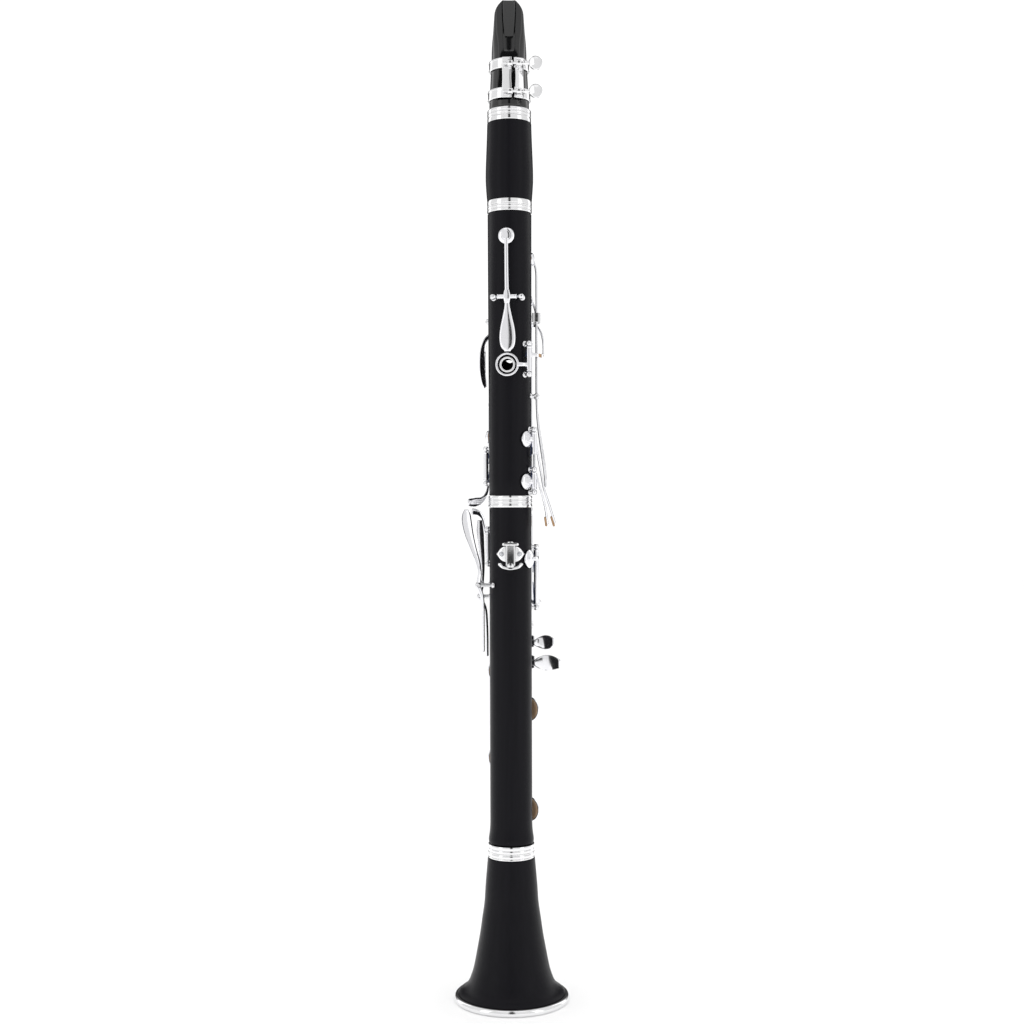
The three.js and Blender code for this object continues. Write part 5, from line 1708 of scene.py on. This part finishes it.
class LowerKeys:
    """The keys of the lower joint."""

    lines: dict[str, Line] = LOWER_LINES

    def rings(self) -> Key:
        """Returns the key of the three lower rings, its vent and its side of the bridge."""
        line = self.lines["lower_ring_rod"]
        arms = [ring_arm(z) for z, _ in HOLES[3:]]
        vent = around((17.5, 40, 315, 3.4), (18.4, 52, 315, 2.6), (18, 66, 316, 2.2))
        bridge = around((17.5, 40, 321, 3.4), (18.4, 52, 322.8, 2.6), (17.9, 59, 327, 2.4),
                        (17.5, 61, 334, 2.6), (17.4, 62, 342.5, 3.2))
        return Key("lower_ring_key", line, span(line, 249.4, 322.8),
                   [*arms, Arm(vent), Arm(bridge)], pad="ring_vent", swing=-5.5,
                   rings=[(SIZE.front, z) for z, _ in HOLES[3:]])

    def sliver(self) -> Key:
        """Returns the small key beside the lower rings."""
        line = self.lines["sliver_b_rod"]
        arm = around((17.5, 12, 293, 4), (18.2, 2, 293, 3), (17.4, -10, 293, 3),
                     (16.2, -22, 293, 2.4))
        touch = around((17.5, 12, 264, 3.4), (20.8, 20, 263.6, 2.8), (21.8, 32, 263, 2.8),
                       (21.6, 46, 263, 3.2), (19.9, 58, 263, 4.4), (18.4, 68, 263, 4.8),
                       (17.8, 74, 263, 3.8))
        return Key("sliver_b_key", line, span(line, 262.3, 298.7),
                   [Arm(arm), Arm(touch, 1.3, power=2.4)], pad="sliver_b")

    def long_keys(self) -> list[Key]:
        """Returns the four keys of the right little finger."""
        right, left = self.lines["right_long_rod"], self.lines["left_long_rod"]
        strap = 20.5
        e_touch = [(4.2, 20.3, 222.3, 9.6), (8, 20.4, 222.3, 10.4), (12, 19.6, 222.3, 10.2),
                   (15.6, 17.9, 222.3, 8.2)]
        f_touch = [(5.6, 17.3, 222.3, 3), (10, 15.3, 222.3, 3.2), (15, 12.6, 222.3, 3.6),
                   (18.6, 12.4, 222.3, 7.4), (23, 12.2, 222.3, 10.4), (28, 10.6, 222.3, 9.6),
                   (32.6, 7.8, 222, 6)]
        fs_touch = [(-5, 20.3, 236.3, 8.6), (0, 21.1, 236.3, 9.8), (5, 21, 236.3, 9.8),
                    (10.5, 19.8, 236.3, 9.4), (15.4, 17.5, 236.3, 7.6)]
        gs_touch = [(-3, 17.9, 236, 2.8), (4, 16.9, 236, 2.8), (10, 14.5, 236, 3),
                    (15, 11.6, 236, 3.4), (18.6, 11.6, 236, 6.6), (22.5, 11, 236.2, 9.4),
                    (26, 9.4, 236.4, 8.6), (28.4, 7.9, 236.6, 5.4)]
        e_link = around((17.4, 76, 179.6, 3), (19.2, 76, 181.4, 2.6), (strap, 76, 184.6, 2.4),
                        (strap, 76, 203, 2.4), (strap, 76, 222, 2.6))
        fs_link = around((17.4, 104, 195.6, 3), (19.2, 104, 197.4, 2.6), (strap, 104, 200.6, 2.4),
                         (strap, 104, 218, 2.4), (strap, 104, 236.3, 2.6))
        return [
            Key("rh_e_b_key", right, span(right, 116.2, 183.8),
                [pad_arm(76, "e_b"), Arm(e_link, 1.3), Arm(e_touch, 1.5, power=3.0)],
                pad="e_b", swing=13),
            Key("rh_f_c_key", right, span(right, 188.2, 226.8),
                [pad_arm(76, "f_c"), Arm(f_touch, 1.5, power=3.0)], pad="f_c", swing=13),
            Key("rh_fs_cs_key", left, span(left, 154.8, 199.8),
                [pad_arm(104, "fs_cs"), Arm(fs_link, 1.3), Arm(fs_touch, 1.5, power=3.0)],
                pad="fs_cs"),
            Key("rh_gs_ds_key", left, span(left, 204.2, 237.8),
                [pad_arm(104, "gs_ds"), Arm(gs_touch, 1.5, power=3.0)], pad="gs_ds"),
        ]

    def levers(self) -> list[Key]:
        """Returns the three levers of the left little finger."""
        first, second = self.lines["lh_e_b_rod"], self.lines["lh_fs_cs_rod"]
        third = self.lines["lh_f_c_rod"]
        long_path = [(-18.2, -3.2, 232, 2), (-18.4, -3.4, 250, 2.3), (-18.8, -4, 267, 2.6),
                     (-21.2, -4.4, 274.6, 3), (-20.6, -4.4, 283, 3), (-21.8, -4.4, 291, 3.6),
                     (-24.8, -4.2, 300, 4.8), (-27.4, -4, 309, 6.4), (-28.9, -3.8, 317, 7.2),
                     (-29.3, -3.7, 322.4, 6.2), (-29.3, -3.7, 325, 3.8)]
        short_path = [(-15.8, 6.6, 228, 2), (-16, 6.4, 245, 2.2), (-17, 5.6, 259, 2.4),
                      (-20.2, 4.8, 267, 2.8), (-19.2, 4.4, 276, 2.8), (-18.8, 4, 288, 3.4),
                      (-19.6, 3.8, 300, 4.6), (-20.3, 3.7, 310, 5.4), (-20.6, 3.7, 318, 3.8)]
        reach = [(-15.4, 10.2, 305, 2.8), (-17.4, 10.8, 313, 2.6), (-18.8, 8.8, 320, 3.4),
                 (-21.6, 5.6, 323.6, 4.2), (-25.4, 2.6, 324.4, 4.2)]
        tail = around((17.5, 150, 294, 3.4), (18.2, 138, 292.5, 2.4), (17.6, 128, 291, 2.6))
        return [
            Key("lh_e_b_lever", first, (1.6, 6.7), [Arm(long_path, out=TURNED_LEFT, power=2.5)]),
            Key("lh_fs_cs_lever", second, (1.6, 5.6),
                [Arm(short_path, out=TURNED_LEFT, power=2.5)]),
            Key("lh_f_c_lever", third, span(third, 291.2, 310.4),
                [Arm(reach, 1.4, power=2.6), Arm(tail)]),
        ]

    def dress(self) -> None:
        """Builds every key and attaches it to its body."""
        for key in [self.rings(), self.sliver(), *self.long_keys(), *self.levers()]:
            key.dress()


# ------------------------------------------------------------------ studio


@dataclass
class Studio:
    """The floor, the soft lights and the camera.

    Attributes:
        lens: The camera's focal length, in millimetres.
        eye: Where the camera stands, in metres.
        roll: The camera's small roll, in radians.
        floor: Half of the floor's side, in metres.
        power: The power of each soft light, in watts.
        air_level: How bright the surroundings look in metal.
        gap_level: How bright the gaps between them look in metal.
        sky_level: How bright the surroundings look to the camera and the matt finishes.
    """

    power: float = 1.0
    air_level: float = 0.84
    gap_level: float = 0.03
    sky_level: float = 1.12
    lens: float = 51.75
    eye: tuple[float, float, float] = (0.00107, -0.980, 0.324)
    roll: float = 0.003
    floor: float = 6.0

    def lay_floor(self) -> None:
        """Makes the pale floor."""
        half = self.floor
        mesh = bpy.data.meshes.new("studio_floor")
        mesh.from_pydata([(-half, -half, 0), (half, -half, 0), (half, half, 0), (-half, half, 0)],
                         [], [(0, 1, 2, 3)])
        floor = bpy.data.objects.new("studio_floor", mesh)
        bpy.context.scene.collection.objects.link(floor)
        paint = bpy.data.materials.new("floor_paper")
        paint.use_nodes = True
        shader = paint.node_tree.nodes["Principled BSDF"]
        shader.inputs["Base Color"].default_value = (0.98, 0.98, 0.98, 1)
        shader.inputs["Roughness"].default_value = 0.7
        mesh.materials.append(paint)

    def panel(self, name: str, spot: Vector, aim: Vector, wide: float, tall: float,
              power: float) -> None:
        """Adds a soft rectangular light.

        Args:
            name: Its name.
            spot: Where it stands, in metres.
            aim: What it faces, in metres.
            wide: Its width.
            tall: Its height.
            power: Its power in watts.
        """
        lamp = bpy.data.lights.new(name, "AREA")
        lamp.shape = "RECTANGLE"
        lamp.size, lamp.size_y, lamp.energy = wide, tall, power
        thing = bpy.data.objects.new(name, lamp)
        thing.location = spot
        thing.rotation_euler = (aim - spot).to_track_quat("-Z", "Y").to_euler()
        bpy.context.scene.collection.objects.link(thing)

    def gap(self, tree: bpy.types.NodeTree, wave: object, where: tuple, levels: tuple) -> object:
        """Adds a soft step in the surroundings.

        Args:
            tree: The tree it goes in.
            wave: The socket it follows.
            where: The values the step starts and ends at.
            levels: The brightness before and after the step.

        Returns:
            Its output.
        """
        step = tree.nodes.new("ShaderNodeMapRange")
        step.interpolation_type = "SMOOTHSTEP"
        for label, value in zip(("From Min", "From Max", "To Min", "To Max"), (*where, *levels)):
            step.inputs[label].default_value = value
        tree.links.new(wave, step.inputs["Value"])
        return step.outputs["Result"]

    def air(self) -> None:
        """Makes the surroundings: white, but with narrow dark gaps where metal mirrors them."""
        world = bpy.data.worlds.new("studio_air")
        bpy.context.scene.world = world
        world.use_nodes = True
        tree = world.node_tree
        back = tree.nodes["Background"]
        way = tree.nodes.new("ShaderNodeTexCoord").outputs["Generated"]
        split = tree.nodes.new("ShaderNodeSeparateXYZ")
        tree.links.new(way, split.inputs[0])
        turn = math_node(tree, "ARCTAN2", split.outputs["Y"], split.outputs["X"])
        wave = math_node(tree, "SINE", turn, 0.0)
        front = self.gap(tree, wave, (-0.9985, -0.990), (self.gap_level, self.air_level))
        rear = self.gap(tree, wave, (0.62, 0.93), (1.0, self.gap_level * 2))
        open_air = math_node(tree, "MULTIPLY", front, rear)
        glossy = tree.nodes.new("ShaderNodeLightPath").outputs["Is Glossy Ray"]
        mirrored = math_node(tree, "MULTIPLY", glossy,
                             math_node(tree, "SUBTRACT", open_air, self.sky_level))
        tree.links.new(math_node(tree, "ADD", mirrored, self.sky_level), back.inputs["Strength"])
        back.inputs["Color"].default_value = (1, 1, 1, 1)

    def light(self) -> None:
        """Adds the pale surroundings and the soft lights."""
        self.air()
        aim = Vector((0, 0, 0.33))
        for deg in (-145, -35, 35, 145):
            turn = math.radians(deg)
            spot = Vector((1.3 * math.cos(turn), 1.3 * math.sin(turn), 0.6))
            self.panel(f"panel_{deg}", spot, aim, 0.45, 1.3, self.power)
        self.panel("top_panel", Vector((0, -0.4, 1.8)), aim, 1.2, 1.2, self.power)

    def aim_camera(self) -> None:
        """Makes the level camera on the thumb side."""
        lens = bpy.data.cameras.new("camera")
        lens.lens = self.lens
        lens.sensor_width = 36
        lens.clip_start = 0.01
        camera = bpy.data.objects.new("camera", lens)
        camera.location = self.eye
        camera.rotation_euler = (math.pi / 2, self.roll, 0)
        bpy.context.scene.collection.objects.link(camera)
        bpy.context.scene.camera = camera
        bpy.context.scene.view_settings.view_transform = "Standard"

    def build(self) -> None:
        """Sets up the whole studio."""
        self.lay_floor()
        self.light()
        self.aim_camera()


def main() -> None:
    """Builds every sub-assembly."""
    logging.basicConfig(level=logging.INFO, format="%(name)s: %(message)s")
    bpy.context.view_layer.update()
    parts = (Bell, LowerJoint, UpperJoint, Barrel, Mouthpiece, Ligature, ThumbRest)
    for part in parts:
        part().dress()
    Posts(Body.LOWER, LOWER_LINES).dress()
    Posts(Body.UPPER, UPPER_LINES).dress()
    UpperKeys().dress()
    LowerKeys().dress()
    Studio().build()


if __name__ == "__main__":
    main()
